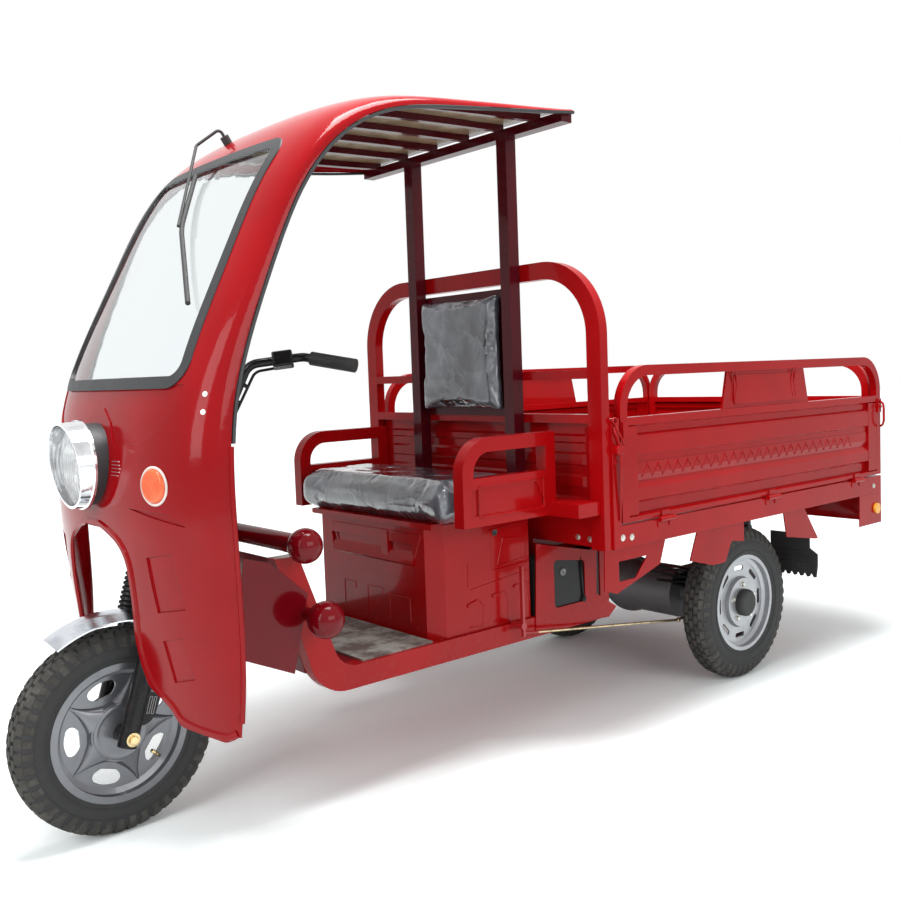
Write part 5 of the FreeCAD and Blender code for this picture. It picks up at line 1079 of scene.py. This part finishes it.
@dataclass
class Cab:
    """The moulded shell with its glass, rubbers, lamps and lining.

    The arch is its left half from the top to the outer corner of the hem, across and up.
    """

    arch: Line = (
        (0.0, 0.757), (0.060, 0.757), (0.176, 0.712), (0.190, 0.600), (0.176, 0.492),
        (0.199, 0.402), (0.268, 0.360), (0.286, 0.324), (0.412, 0.306), (0.432, 0.320))
    border: float = 0.019
    border_height: float = 0.0050
    line_levels: tuple[float, ...] = (0.874, 0.882, 0.890, 0.898, 0.906)
    line_start: float = 0.113
    line_end: float = 0.158
    lamp_middle: Vector = Vector((1.2910, 0.0, 0.895))
    signal_middle: Vector = Vector((1.25775, 0.296, 0.858))
    signal_turn: float = math.radians(15.0)
    screw_spots: Line = ((0.4073, 1.0539), (0.4099, 1.0162))
    screw: Bolt = Bolt(0.0042, 0.0022)
    line_size: Pair = (0.0019, 0.0005)
    bulb_cup: Line = ((0.001, 0.030), (0.016, 0.026), (0.021, 0.014), (0.021, -0.012),
                      (0.017, -0.012), (0.015, 0.008), (0.001, 0.014))
    reflector_rings: int = 5
    bezel_ring: Line = ((0.0376, 0.0060), (0.0436, 0.0060), (0.0440, 0.0085), (0.0425, 0.0100),
                        (0.0390, 0.0100), (0.0376, 0.0088))
    lens_ridges: tuple[float, ...] = (0.006, 0.012, 0.018, 0.024)

    def arch_border(self, shell: Surface) -> None:
        """The raised border round the wheel arch and along the hem."""
        half = eased(self.arch, 3)
        line = [(-across, up) for across, up in reversed(half)] + half[1:]
        spots = shell.front_line(line)

        def fill(work: Work) -> None:
            """Fills the border."""
            ribbon(work, spots, self.border, self.border_height)
        add_piece("arch_border", fill, Finish.CAB_RED, Body.CHASSIS, edge=50.0)

    def speed_lines(self, shell: Surface) -> None:
        """Five thin silver lines that run back from the lamp on both sides."""
        def fill(work: Work) -> None:
            """Fills the lines."""
            for side in Side:
                for place, level in enumerate(self.line_levels):
                    start = self.line_start - 0.0015 * abs(place - 2)
                    reach = (self.line_end - 0.004 * abs(place - 2) - start) / 6
                    spots = shell.front_line([(side.value * (start + reach * step), level)
                                              for step in range(7)])
                    if len(spots) > 2:
                        ribbon(work, spots, *self.line_size)
        add_piece("speed_lines", fill, Finish.SILVER_LINE, Body.CHASSIS)

    def lamp_inside(self) -> None:
        """The bulb with its holder and the pressed steps of the reflector."""
        def bulb(work: Work) -> None:
            """Fills the bulb's cup and its stays."""
            turned(work, self.bulb_cup, self.lamp_middle, AHEAD, 40)
            for sign in (-1, 1):
                foot = self.lamp_middle + Vector((-0.020, sign * 0.072, 0.0))
                tube(work, [foot, self.lamp_middle + Vector((0.0, sign * 0.019, 0.0))], 0.0028, 8)
        add_piece("bulb_cup", bulb, Finish.CHROME, Body.CHASSIS)

        def steps(work: Work) -> None:
            """Fills the reflector's rings."""
            for count in range(self.reflector_rings):
                wide = 0.084 - count * 0.011
                back = -0.006 - count * 0.0085
                turned(work, [(wide, back), (wide - 0.0015, back + 0.0035),
                              (wide - 0.003, back - 0.001)], self.lamp_middle, AHEAD, 72)
        add_piece("reflector_steps", steps, Finish.CHROME, Body.CHASSIS)

    def signal_rings(self, side: Side) -> None:
        """A turn signal's pale bezel ring and the ridges moulded in its lens."""
        middle = Vector((self.signal_middle.x, side.value * self.signal_middle.y,
                         self.signal_middle.z))
        facing = Vector((math.cos(self.signal_turn), side.value * math.sin(self.signal_turn), 0))

        def bezel(work: Work) -> None:
            """Fills the bezel."""
            turned(work, self.bezel_ring, middle, facing, 64)
        add_piece(f"signal_bezel_{side.tag}", bezel, Finish.PALE_BEZEL, Body.CHASSIS)

        def ridges(work: Work) -> None:
            """Fills the ridges."""
            for wide in self.lens_ridges:
                turned(work, [(wide - 0.002, 0.0155), (wide, 0.0172), (wide + 0.002, 0.0155)],
                       middle, facing, 56)
        add_piece(f"signal_ridges_{side.tag}", ridges, Finish.ORANGE, Body.CHASSIS)

    def screws(self, shell: Surface, side: Side) -> None:
        """The small screws that hold the shell to its frame."""

        def fill(work: Work) -> None:
            """Fills the screws."""
            for across, up in self.screw_spots:
                found = shell.from_ahead(side.value * across, up)
                if found:
                    self.screw.add(work, *found)
        add_piece(f"shell_screws_{side.tag}", fill, Finish.ZINC, Body.CHASSIS,
                  smooth=False)

    def build(self) -> None:
        """Dresses the CAD pieces."""
        dress(Finish.CAB_RED, "cab_shell")
        dress(Finish.GLASS, "windscreen_glass")
        dress(Finish.TRIM_RUBBER, "windscreen_seal", "cab_edge_trim")
        dress(Finish.CHROME, "headlamp")
        dress(Finish.LENS, "headlamp_lens")
        dress(Finish.ORANGE, "turn_signals")
        dress(Finish.BEIGE, "roof_liner")
        # the roof ribs and posts take the red paint with painted shade
        dress(Finish.DARK_RED, "roof_ribs", "roof_posts")
        dress(Finish.BLACK_PLASTIC, "wiper")
        shell = Surface("cab_shell")
        self.arch_border(shell)
        self.speed_lines(shell)
        self.lamp_inside()
        for side in Side:
            self.signal_rings(side)
            self.screws(shell, side)


@dataclass
class Cushion:
    """A stuffed pad in a creased wrap, puffed by simulation from a slightly smaller block.

    It rests with its low side along one axis, given by number, on a board or lid.
    """

    node: str
    body: Body
    name: str
    rests_along: int
    voxel: float = 0.006
    pressure: float = 4.0
    frames: int = 20
    reach: float = 0.016
    shrink: float = 0.010
    fold: float = 0.0024
    fold_scale: float = 5.5

    def block(self, work: Work) -> None:
        """Fills a rounded block a little inside the CAD cushion."""
        low, high, centre = node_box(self.node)
        half = (high - low) / 2 - Vector((self.shrink,) * 3)
        bmesh.ops.create_cube(work, size=2.0)
        for vert in work.verts:
            vert.co = Vector(a * b for a, b in zip(vert.co, half))
        bmesh.ops.bevel(work, geom=list(work.edges), offset=min(half) * 0.7, segments=4,
                        profile=0.5, affect="EDGES")
        for vert in work.verts:
            vert.co += centre

    def build(self) -> None:
        """Makes the pad and hides the plain one."""
        piece = add_piece(self.name, self.block, Finish.CUSHION, self.body)
        self.puff(piece)
        self.wrinkle(piece)
        self.settle(piece)
        smooth = piece.modifiers.new("round", "SUBSURF")
        smooth.levels = smooth.render_levels = 1
        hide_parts(self.node)

    def puff(self, piece: bpy.types.Object) -> None:
        """Swells the pad by cloth pressure, and keeps each point near where it began.

        Args:
            piece: The pad.
        """
        remesh = piece.modifiers.new("voxels", "REMESH")
        remesh.mode = "VOXEL"
        remesh.voxel_size = self.voxel
        cloth = piece.modifiers.new("cloth", "CLOTH")
        cloth.settings.use_pressure = True
        cloth.settings.uniform_pressure_force = self.pressure
        cloth.settings.effector_weights.gravity = 0.0
        cloth.point_cache.frame_end = self.frames
        graph = bpy.context.evaluated_depsgraph_get()
        scene = bpy.context.scene
        scene.frame_set(1)
        before = [vert.co.copy() for vert in piece.evaluated_get(graph).data.vertices]
        for number in range(2, self.frames + 1):
            scene.frame_set(number)
        graph = bpy.context.evaluated_depsgraph_get()
        mesh = bpy.data.meshes.new_from_object(piece.evaluated_get(graph))
        for vert, rest in zip(mesh.vertices, before):
            move = vert.co - rest
            if move.length > self.reach:
                vert.co = rest + move.normalized() * self.reach
        piece.modifiers.clear()
        piece.data = mesh
        scene.frame_set(1)
        soften(mesh, 180.0)

    def settle(self, piece: bpy.types.Object) -> None:
        """Flattens the pad where it rests.

        Args:
            piece: The pad.
        """
        low = node_box(self.node)[0][self.rests_along]
        for vert in piece.data.vertices:
            vert.co[self.rests_along] = max(vert.co[self.rests_along], low)

    def wrinkle(self, piece: bpy.types.Object) -> None:
        """Raises the loose wrap's folds along the normals.

        Args:
            piece: The pad.
        """
        mesh = piece.data
        normals = [vert.normal.copy() for vert in mesh.vertices]
        for vert, normal in zip(mesh.vertices, normals):
            place = Vector((vert.co.x * 1.5, vert.co.y * 0.8 + vert.co.x * 0.5, vert.co.z * 1.2))
            broad = 1.0 - abs(noise.noise(place * self.fold_scale)) * 5.0
            fine = 1.0 - abs(noise.noise(place * self.fold_scale * 2.0 + Vector((3, 1, 7)))) * 6.0
            vert.co += normal * (max(0.0, broad) * self.fold + max(0.0, fine) * self.fold * 0.4)


@dataclass
class Seat:
    """The seat box, its lid, the arms and both cushions.

    Lines on the box's sides and on the arms are given along and up, those on its front across
    and up.
    """

    side_lines: tuple[Line, ...] = (
        ((0.137, 0.640), (0.284, 0.632), (0.273, 0.516), (0.134, 0.521)),
        ((0.230, 0.603), (0.2535, 0.5276), (0.143, 0.535), (0.137, 0.593), (0.230, 0.603)),
        ((0.366, 0.547), (0.369, 0.483)),
        ((0.360, 0.474), (0.135, 0.497)),
        ((0.368, 0.431), (0.328, 0.440), (0.313, 0.423), (0.318, 0.365), (0.365, 0.370)),
        ((0.276, 0.443), (0.231, 0.449), (0.218, 0.433), (0.221, 0.365), (0.274, 0.368)),
        ((0.191, 0.457), (0.170, 0.461), (0.136, 0.462), (0.132, 0.406)))
    side_tabs: tuple[Line, ...] = (
        ((0.374, 0.431), (0.336, 0.440)), ((0.280, 0.443), (0.252, 0.447)),
        ((0.194, 0.456), (0.182, 0.459)))
    front_lines: tuple[Line, ...] = (
        ((-0.172, 0.586), (-0.192, 0.640), (0.238, 0.640), (0.206, 0.572)),
        ((-0.140, 0.400), (-0.140, 0.468), (-0.082, 0.468), (-0.082, 0.452)),
        ((-0.022, 0.385), (-0.022, 0.468), (0.050, 0.468), (0.050, 0.452)),
        ((0.085, 0.390), (0.085, 0.455), (0.180, 0.455), (0.180, 0.390)))
    ledge: Line = (
        (0.4800, 0.5100), (0.4892, 0.5100), (0.4892, 0.5500), (0.4950, 0.5560), (0.4890, 0.5800),
        (0.4800, 0.5900))
    ledge_start: float = -0.189
    ledge_end: float = 0.204
    keyhole: Pair = (0.262, 0.624)
    arm_frame: Line = (
        (0.4255, 0.6965), (0.4255, 0.7810), (0.1830, 0.7810), (0.1830, 0.6965), (0.4255, 0.6965))

    line_size: Pair = (0.0050, 0.0016)
    tab_size: Pair = (0.0120, 0.0040)
    front_size: Pair = (0.0055, 0.0020)
    frame_size: Pair = (0.0060, 0.0022)
    # the flat inner part of this profile is a black disc that paints the shade of the keyhole's
    # well
    keyhole_rim: Line = ((0.0005, 0.0006), (0.0080, 0.0006), (0.0086, 0.0014), (0.0096, 0.0014),
                         (0.0102, 0.0004), (0.0005, 0.0002))

    def side_pressings(self, box: Surface, side: Side) -> None:
        """The lines, tabs and keyhole on one side of the box.

        Args:
            box: The box's skin.
            side: Which side.
        """

        def fill(work: Work) -> None:
            """Fills the lines and tabs."""
            for lines, size in ((self.side_lines, self.line_size),
                                (self.side_tabs, self.tab_size)):
                for line in lines:
                    ribbons(work, box.side_line(side, line), *size)
        add_piece(f"box_pressings_{side.tag}", fill, Finish.RED, Body.CHASSIS,
                  edge=30.0)

        def hole(work: Work) -> None:
            """Fills the keyhole's rim and a flat black disc inside it, painted shade that stands in
            for the depth of its well.
            """
            found = box.from_side(side, *self.keyhole)
            if found:
                turned(work, self.keyhole_rim, found[0], side.out, 32)
        add_piece(f"keyhole_{side.tag}", hole, Finish.BLACK_PLASTIC, Body.CHASSIS)

    def front_pressings(self, box: Surface) -> None:
        """The bright sloped ledge and the lines on the box's front."""
        def fill(work: Work) -> None:
            """Fills the ledge and the lines."""
            prism(work, [Vector((along, self.ledge_start, up)) for along, up in self.ledge],
                  Vector((0.0, self.ledge_end - self.ledge_start, 0.0)))
            for line in self.front_lines:
                ribbons(work, box.front_line(line), *self.front_size)
        add_piece("box_front_pressings", fill, Finish.RED, Body.CHASSIS, edge=30.0)

    def arm_frames(self, side: Side) -> None:
        """The pressed frame on an arm's side plate.

        Args:
            side: Which arm.
        """
        arms = Surface("armrests")

        def fill(work: Work) -> None:
            """Fills the frame."""
            ribbons(work, arms.side_line(side, self.arm_frame), *self.frame_size)
        add_piece(f"arm_frame_{side.tag}", fill, Finish.RED, Body.CHASSIS, edge=30.0)

    def build(self) -> None:
        """Dresses the steel and makes the cushions."""
        box = Surface("seat_box")
        for side in Side:
            self.side_pressings(box, side)
            self.arm_frames(side)
        self.front_pressings(box)
        dress(Finish.RED, "seat_box", "seat_lid", "armrests")
        Cushion("seat_cushion", Body.SEAT, "seat_pad", 2).build()
        Cushion("backrest_cushion", Body.CHASSIS, "backrest_pad", 0).build()


@dataclass
class Bed:
    """The cargo bed with its hoop and gates."""

    band_start: float = -1.287
    band_end: float = -0.093
    band_low: float = 0.764
    band_high: float = 0.797
    tooth: float = 0.024
    plate_middle: float = -0.7225
    latch_inset: float = 0.015
    latch_face: float = 0.556
    ribs: tuple[Line, ...] = (
        ((0.5400, 0.8235), (0.5490, 0.8285), (0.5490, 0.8800), (0.5400, 0.8850)),
        ((0.5330, 0.6880), (0.5488, 0.6985), (0.5488, 0.7330), (0.5330, 0.7620)))
    rib_start: float = -1.408
    rib_end: float = -0.058
    post_low: float = 0.6560
    post_high: float = 0.9140
    post_face: float = 0.5497
    post_back: float = 0.5335
    latch_along: float = 0.026
    front_face: float = 0.0498
    front_ribs: Line = ((0.864, 0.894), (0.800, 0.842), (0.736, 0.778), (0.672, 0.714))
    front_run_in: float = 0.012
    front_chamfer: Pair = (0.006, 0.008)
    front_sink: float = 0.001
    front_reach: float = 0.455
    front_depth: float = 0.0065
    plate_low: float = 0.962
    plate_high: float = 1.058
    bolt: Bolt = Bolt(0.0065, 0.004)
    bolt_spots: Line = ((0.0134, 0.601), (-0.0257, 0.598), (-1.440, 0.600))
    front_bolt_spots: Line = ((0.4136, 0.594), (0.4594, 0.593))
    zigzag_size: Pair = (0.007, 0.0028)
    chevron_size: Pair = (0.005, 0.0018)
    chevron_backs: Pair = (0.158, 0.176)
    chevron_lean: float = 0.012
    corner_face: float = 0.5500
    eye_middle: Pair = (0.014, 0.931)
    eye_radius: float = 0.0085
    eye_wire: float = 0.0026
    latch_wire: float = 0.0030
    latch_wires: tuple[tuple[Colour, ...], ...] = (
        ((0.012, 0.002, 0.922), (0.010, 0.010, 0.905), (-0.013, 0.013, 0.866),
         (-0.013, 0.010, 0.852)),
        ((0.017, 0.002, 0.912), (0.020, 0.010, 0.896), (0.006, 0.013, 0.866),
         (0.004, 0.010, 0.852)))
    latch_body: Line = ((-0.018, 0.838), (-0.018, 0.858), (-0.012, 0.863), (0.014, 0.863),
                        (0.018, 0.856), (0.018, 0.842), (0.012, 0.836))
    body_middle: float = 0.850
    body_rings: Line = ((-0.0006, 1.0), (0.0125, 1.0), (0.0150, 0.85))
    strap: tuple[Colour, ...] = (
        (0.842, 0.0065, 0.013), (0.800, 0.0062, 0.015), (0.770, 0.0052, 0.013),
        (0.720, 0.0048, 0.009), (0.680, 0.0036, 0.006), (0.650, 0.0024, 0.005))
    strap_bolt: Bolt = Bolt(0.0055, 0.0045)
    strap_bolt_spot: Colour = (0.010, 0.0, 0.815)
    lever_bolt: Bolt = Bolt(0.0065, 0.005)
    lever_bolt_up: float = 0.896
    lever_radius: float = 0.0042
    lever: Line = ((0.916, 0.0), (0.908, 0.012), (0.890, 0.015), (0.842, 0.015), (0.828, 0.010),
                   (0.822, 0.001))
    flap_inner: float = 0.304
    flap_teeth: int = 8
    flap_rib: Pair = (0.005, 0.0016)
    flap_steps: tuple[float, ...] = (0.045, 0.085, 0.105)
    flap_insets: Pair = (0.022, 0.030)
    flap_levels: tuple[float, ...] = (0.050, 0.070, 0.090)

    def zigzag(self, side: Side, body: Body) -> None:
        """The pressed zigzag along a side gate and the chevrons on its rail plate.

        Args:
            side: Which gate.
            body: The body it swings with.
        """
        gate = Surface(f"gate_{side.tag}")
        count = round((self.band_end - self.band_start) / self.tooth)
        line = [(self.band_start + self.tooth * step, self.band_high if step % 2 else self.band_low)
                for step in range(count + 1)]

        def fill(work: Work) -> None:
            """Fills the zigzag and the chevrons."""
            ribbon(work, gate.side_line(side, line), *self.zigzag_size)
            for sign in (-1, 1):
                for back in self.chevron_backs:
                    corner = (self.plate_low + self.plate_high) / 2
                    path = [(self.plate_middle + sign * (back + lean), up)
                            for lean, up in ((self.chevron_lean, self.plate_low), (0.0, corner),
                                             (self.chevron_lean, self.plate_high))]
                    marks = gate.side_line(side, path)
                    if len(marks) == 3:
                        ribbon(work, marks, *self.chevron_size)
        add_piece(f"pressed_zigzag_{side.tag}", fill, Finish.RED, body, edge=30.0)

    def pressings(self, side: Side, body: Body) -> None:
        """The two long ribs of a side gate and the flat posts at its ends.

        Args:
            side: Which gate.
            body: The body it swings with.
        """
        low, high, _ = node_box(f"gate_{side.tag}")

        def fill(work: Work) -> None:
            """Fills the ribs and posts."""
            run = Vector((self.rib_end - self.rib_start, 0.0, 0.0))
            for outline in self.ribs:
                prism(work, [Vector((self.rib_start, side.value * face, up))
                             for face, up in outline], run)
            for start, end in ((low.x + 0.001, self.rib_start + 0.002),
                               (self.rib_end - 0.002, high.x - 0.013)):
                corners = ((self.post_back, self.post_low), (self.post_face, self.post_low + 0.003),
                           (self.post_face, self.post_high - 0.003),
                           (self.post_back, self.post_high))
                prism(work, [Vector((start, side.value * face, up)) for face, up in corners],
                      Vector((end - start, 0.0, 0.0)))
        add_piece(f"gate_ribs_{side.tag}", fill, Finish.RED, body, edge=25.0)

    def front_panel(self) -> None:
        """The level ribs pressed in the bed's front panel."""
        def fill(work: Work) -> None:
            """Fills the ribs."""
            for low, high in self.front_ribs:
                rings = []
                full = self.front_reach - self.front_run_in
                foot = self.front_face - self.front_sink
                for across, share in ((-self.front_reach, 0.0), (-full, 1.0), (full, 1.0),
                                      (self.front_reach, 0.0)):
                    out = self.front_face - 0.0006 + self.front_depth * share
                    rings.append([Vector((foot, across, low)),
                                  Vector((out, across, low + self.front_chamfer[0])),
                                  Vector((out, across, high - self.front_chamfer[1])),
                                  Vector((foot, across, high))])
                skin(work, rings, caps=True)
        add_piece("front_panel_ribs", fill, Finish.RED, Body.CHASSIS, edge=25.0)

    def corner_latch(self, side: Side) -> None:
        """The latch on a front corner post: an eye, a wire frame, a body and a long strap.

        Args:
            side: Which post.
        """
        def spot(along: float, out: float, up: float) -> Vector:
            """A point from its places along the post, off its face and up."""
            return Vector((self.latch_along + along, side.value * (self.corner_face + out), up))

        def fill(work: Work) -> None:
            """Fills the latch."""
            along, up = self.eye_middle
            eye = [spot(along + self.eye_radius * math.cos(math.tau * step / 16), 0.0040,
                        up + self.eye_radius * math.sin(math.tau * step / 16))
                   for step in range(17)]
            tube(work, eye, self.eye_wire, 8)
            for wire in self.latch_wires:
                tube(work, [spot(*place) for place in wire], self.latch_wire, 8)
            middle = self.body_middle
            skin(work, [[spot(along * share, out, middle + (up - middle) * share)
                         for along, up in self.latch_body] for out, share in self.body_rings],
                 caps=True)
            skin(work, [[spot(-half, out - 0.0028, up), spot(half, out - 0.0028, up),
                         spot(half * 0.8, out, up), spot(-half * 0.8, out, up)]
                        for up, half, out in self.strap], caps=True)
            self.strap_bolt.add(work, spot(*self.strap_bolt_spot), side.out)
        add_piece(f"corner_latch_{side.tag}", fill, Finish.RED, Body.CHASSIS,
                  edge=35.0)

    def flaps(self, work: Work) -> None:
        """The mudflaps: thick rubber with stepped sides, raised ribs and a toothed hem.

        Args:
            work: The bmesh to fill.
        """
        low, high, _ = node_box("mudflaps")
        inner, outer = self.flap_inner, high.y
        pitch = (outer - inner) / self.flap_teeth
        hem = []
        for tooth in range(self.flap_teeth):
            start = inner + tooth * pitch
            hem += [(start + pitch * 0.05, low.z + 0.016), (start + pitch * 0.45, low.z),
                    (start + pitch * 0.80, low.z + 0.002)]
        first, second, third = (low.z + rise for rise in self.flap_steps)
        near, far = inner + self.flap_insets[0], outer - self.flap_insets[1]
        outline = [(inner, first)] + hem + [
            (outer, first), (outer, second), (far, third), (far, high.z), (near, high.z),
            (near, third), (inner, second)]
        for side in Side:
            skin(work, [[Vector((along, side.value * across, up)) for across, up in outline]
                        for along in (low.x, high.x)], caps=True)
            for level in self.flap_levels:
                spots = [(Vector((high.x, side.value * across, low.z + level)), AHEAD)
                         for across in (inner + 0.028, outer - 0.034)]
                ribbon(work, spots, *self.flap_rib)

    def levers(self, side: Side, body: Body) -> None:
        """The latch lever at the rear end of a side gate.

        Args:
            side: Which gate.
            body: The body it swings with.
        """
        along = node_box(f"gate_{side.tag}")[0].x + self.latch_inset
        face = side.value * self.latch_face

        def fill(work: Work) -> None:
            """Fills the lever and its pivot."""
            tube(work, [Vector((along, face, up)) + side.out * out for up, out in self.lever],
                 self.lever_radius, 10)
            self.lever_bolt.add(work, Vector((along, face, self.lever_bolt_up)), side.out)
        add_piece(f"latch_levers_{side.tag}", fill, Finish.RED, body)

    def bolts(self, side: Side) -> None:
        """The bolts through a side rail of the bed."""
        rail = Surface("bed_frame")

        def fill(work: Work) -> None:
            """Fills the bolts."""
            for along, up in self.bolt_spots:
                found = rail.from_side(side, along, up)
                if found:
                    self.bolt.add(work, *found)
            for across, up in self.front_bolt_spots:
                found = rail.from_ahead(side.value * across, up)
                if found:
                    self.bolt.add(work, *found)
        add_piece(f"rail_bolts_{side.tag}", fill, Finish.ZINC, Body.CHASSIS,
                  smooth=False)

    def build(self) -> None:
        """Dresses the CAD pieces and adds the pressings and bolts."""
        gates = ((Side.LEFT, Body.LEFT_GATE), (Side.RIGHT, Body.RIGHT_GATE))
        for side, body in gates:
            self.zigzag(side, body)
        self.front_panel()
        for side, body in gates:
            self.bolts(side)
            self.pressings(side, body)
            self.levers(side, body)
            self.corner_latch(side)
        flaps = add_piece("toothed_mudflaps", self.flaps, Finish.FLAP_RUBBER, Body.CHASSIS,
                          smooth=False)
        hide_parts("mudflaps")
        dress(Finish.RED, "bed_frame", "bed_floor", "headboard_hoop", "gate_left", "gate_right",
              "tailgate", "rear_brackets")
        dress(Finish.FLAP_RUBBER, "mudflaps")
        dress(Finish.AMBER, "tail_lamps")


@dataclass
class Chassis:
    """The frame, axle, springs and batteries."""

    socket: Pair = (-0.0046, 0.4695)
    socket_rim: Line = ((0.0005, 0.0020), (0.0040, 0.0020), (0.0048, 0.0036), (0.0105, 0.0036),
                        (0.0120, 0.0020), (0.0120, -0.0008), (0.0005, -0.0008))
    rod: Line = ((-0.079, 0.505), (-0.090, 0.372))
    rod_across: float = 0.3015
    rod_radius: float = 0.0034
    rod_bolt: Bolt = Bolt(0.0065, 0.004)

    def charging_socket(self) -> None:
        """The round socket on the left battery box, and the black stay in front of it."""
        box = Surface("battery_boxes")
        found = box.from_side(Side.LEFT, *self.socket)

        def socket(work: Work) -> None:
            """Fills the socket."""
            if found:
                turned(work, self.socket_rim, found[0], LEFTWARD, 36)
        add_piece("charging_socket", socket, Finish.CAST, Body.CHASSIS)

        def stay(work: Work) -> None:
            """Fills the stay and its foot."""
            tube(work, [Vector((along, self.rod_across, up)) for along, up in self.rod],
                 self.rod_radius, 10)
            along, up = self.rod[-1]
            self.rod_bolt.add(work, Vector((along, self.rod_across + 0.0025, up)), LEFTWARD)
        add_piece("battery_stay", stay, Finish.STEEL_BLACK, Body.CHASSIS)

    def build(self) -> None:
        """Dresses the CAD pieces and adds the socket and stay."""
        self.charging_socket()
        dress(Finish.RED, "main_frame")
        dress(Finish.BALL_RED, "front_bulkhead")
        dress(Finish.MAT, "floor_mat")
        dress(Finish.CAST, "rear_axle")
        dress(Finish.STEEL_BLACK, "leaf_springs", "battery_boxes")
        dress(Finish.PEDAL, "brake_pedal")


@dataclass
class Studio:
    """The pale floor, the sky, the lamps and the camera."""

    eye: Vector
    yaw: float
    pitch: float
    roll: float
    lens: float
    shift: Pair
    floor_size: float = 60.0
    floor_colour: Colour = (0.55, 0.57, 0.57)
    floor_seen: Colour = (1.20, 1.27, 1.27)
    fade_start: float = 2.3
    fade_end: float = 5.5
    glow: float = 0.6
    sky: float = 0.45

    lamps: tuple[tuple[str, Colour, Pair, float], ...] = (
        ("overhead_lamp", (0.3, 0.4, 4.6), (2.6, 2.0), 290.0),
        ("front_lamp", (5.0, 1.0, 2.6), (2.0, 3.0), 95.0),
        ("side_lamp", (0.5, 5.5, 2.4), (4.0, 2.0), 95.0))

    def camera(self) -> None:
        """Places the camera at the photograph's viewpoint."""
        look = Vector((-math.cos(self.yaw) * math.cos(self.pitch),
                       -math.sin(self.yaw) * math.cos(self.pitch), -math.sin(self.pitch)))
        level = look.cross(Vector((0, 0, 1))).normalized()
        above = level.cross(look)
        right = level * math.cos(self.roll) + above * math.sin(self.roll)
        up = above * math.cos(self.roll) - level * math.sin(self.roll)
        data = bpy.data.cameras.new("camera")
        data.lens = self.lens
        data.shift_x, data.shift_y = self.shift
        item = bpy.data.objects.new("camera", data)
        axes = Matrix((right, up, -look)).transposed().to_4x4()
        item.matrix_world = Matrix.Translation(self.eye) @ axes
        bpy.context.scene.collection.objects.link(item)
        bpy.context.scene.camera = item

    def world(self) -> None:
        """A soft even sky that looks white to the camera and in reflections."""
        world = bpy.data.worlds.new("sky")
        bpy.context.scene.world = world
        graph = Graph("sky", world)
        dim, bright = (graph.node("ShaderNodeBackground", {}, {"Color": WHITE, "Strength": power})
                       for power in (self.sky, 1.0))
        graph.send(graph.when_seen(dim, bright), "World")

    def floor(self) -> None:
        """A wide pale floor that keeps the shadow and fades to white away from the vehicle."""
        half = self.floor_size / 2
        mesh = bpy.data.meshes.new("floor")
        mesh.from_pydata([(-half, -half, 0), (half, -half, 0), (half, half, 0), (-half, half, 0)],
                         [], [(0, 1, 2, 3)])
        item = bpy.data.objects.new("floor", mesh)
        bpy.context.scene.collection.objects.link(item)
        graph = Graph("pale_floor")
        matt = graph.node("ShaderNodeBsdfDiffuse", {}, {"Color": self.floor_colour})
        pale = graph.node("ShaderNodeBsdfDiffuse", {}, {"Color": self.floor_seen})
        reach = graph.node("ShaderNodeVectorMath", {"operation": "LENGTH"}, {
            0: graph.place()}, "Value")
        fade = graph.band(reach, self.fade_start, self.fade_end)
        glow = graph.node("ShaderNodeEmission", {}, {"Color": WHITE, "Strength": fade * self.glow})
        both = graph.node("ShaderNodeAddShader", {}, {0: pale, 1: glow})
        graph.send(graph.when_seen(matt, both))
        mesh.materials.append(graph.owner)

    def lamp(self, name: str, place: Vector, size: Pair, power: float) -> None:
        """A soft rectangular lamp aimed at the vehicle's middle.

        Args:
            name: Its name.
            place: Where it hangs.
            size: Its width and height.
            power: Its watts.
        """
        data = bpy.data.lights.new(name, "AREA")
        data.shape = "RECTANGLE"
        data.size, data.size_y = size
        data.energy = power
        item = bpy.data.objects.new(name, data)
        item.location = place
        aim = Vector((0.0, 0.0, 0.7)) - place
        item.rotation_euler = aim.to_track_quat("-Z", "Y").to_euler()
        bpy.context.scene.collection.objects.link(item)

    def build(self) -> None:
        """Sets up everything round the vehicle."""
        self.camera()
        self.world()
        self.floor()
        for name, place, size, power in self.lamps:
            self.lamp(name, Vector(place), size, power)
        bpy.context.scene.view_settings.view_transform = "Standard"


PHOTO_VIEW = Studio(
    eye=Vector((2.14905, 2.3371, 1.0795)), yaw=math.radians(49.5945),
    pitch=math.radians(3.4737), roll=math.radians(-2.0649), lens=39.503,
    shift=(-0.00252, -0.01896))


def main() -> None:
    """Builds the vehicle's looks and the studio round it."""
    logging.basicConfig(level=logging.INFO, format="%(name)s: %(message)s")
    for part in (PHOTO_VIEW, Wheels(), Steering(), Cab(), Seat(), Bed(), Chassis()):
        LOG.info("sub-assembly %s", type(part).__name__)
        part.build()


if __name__ == "__main__":
    main()
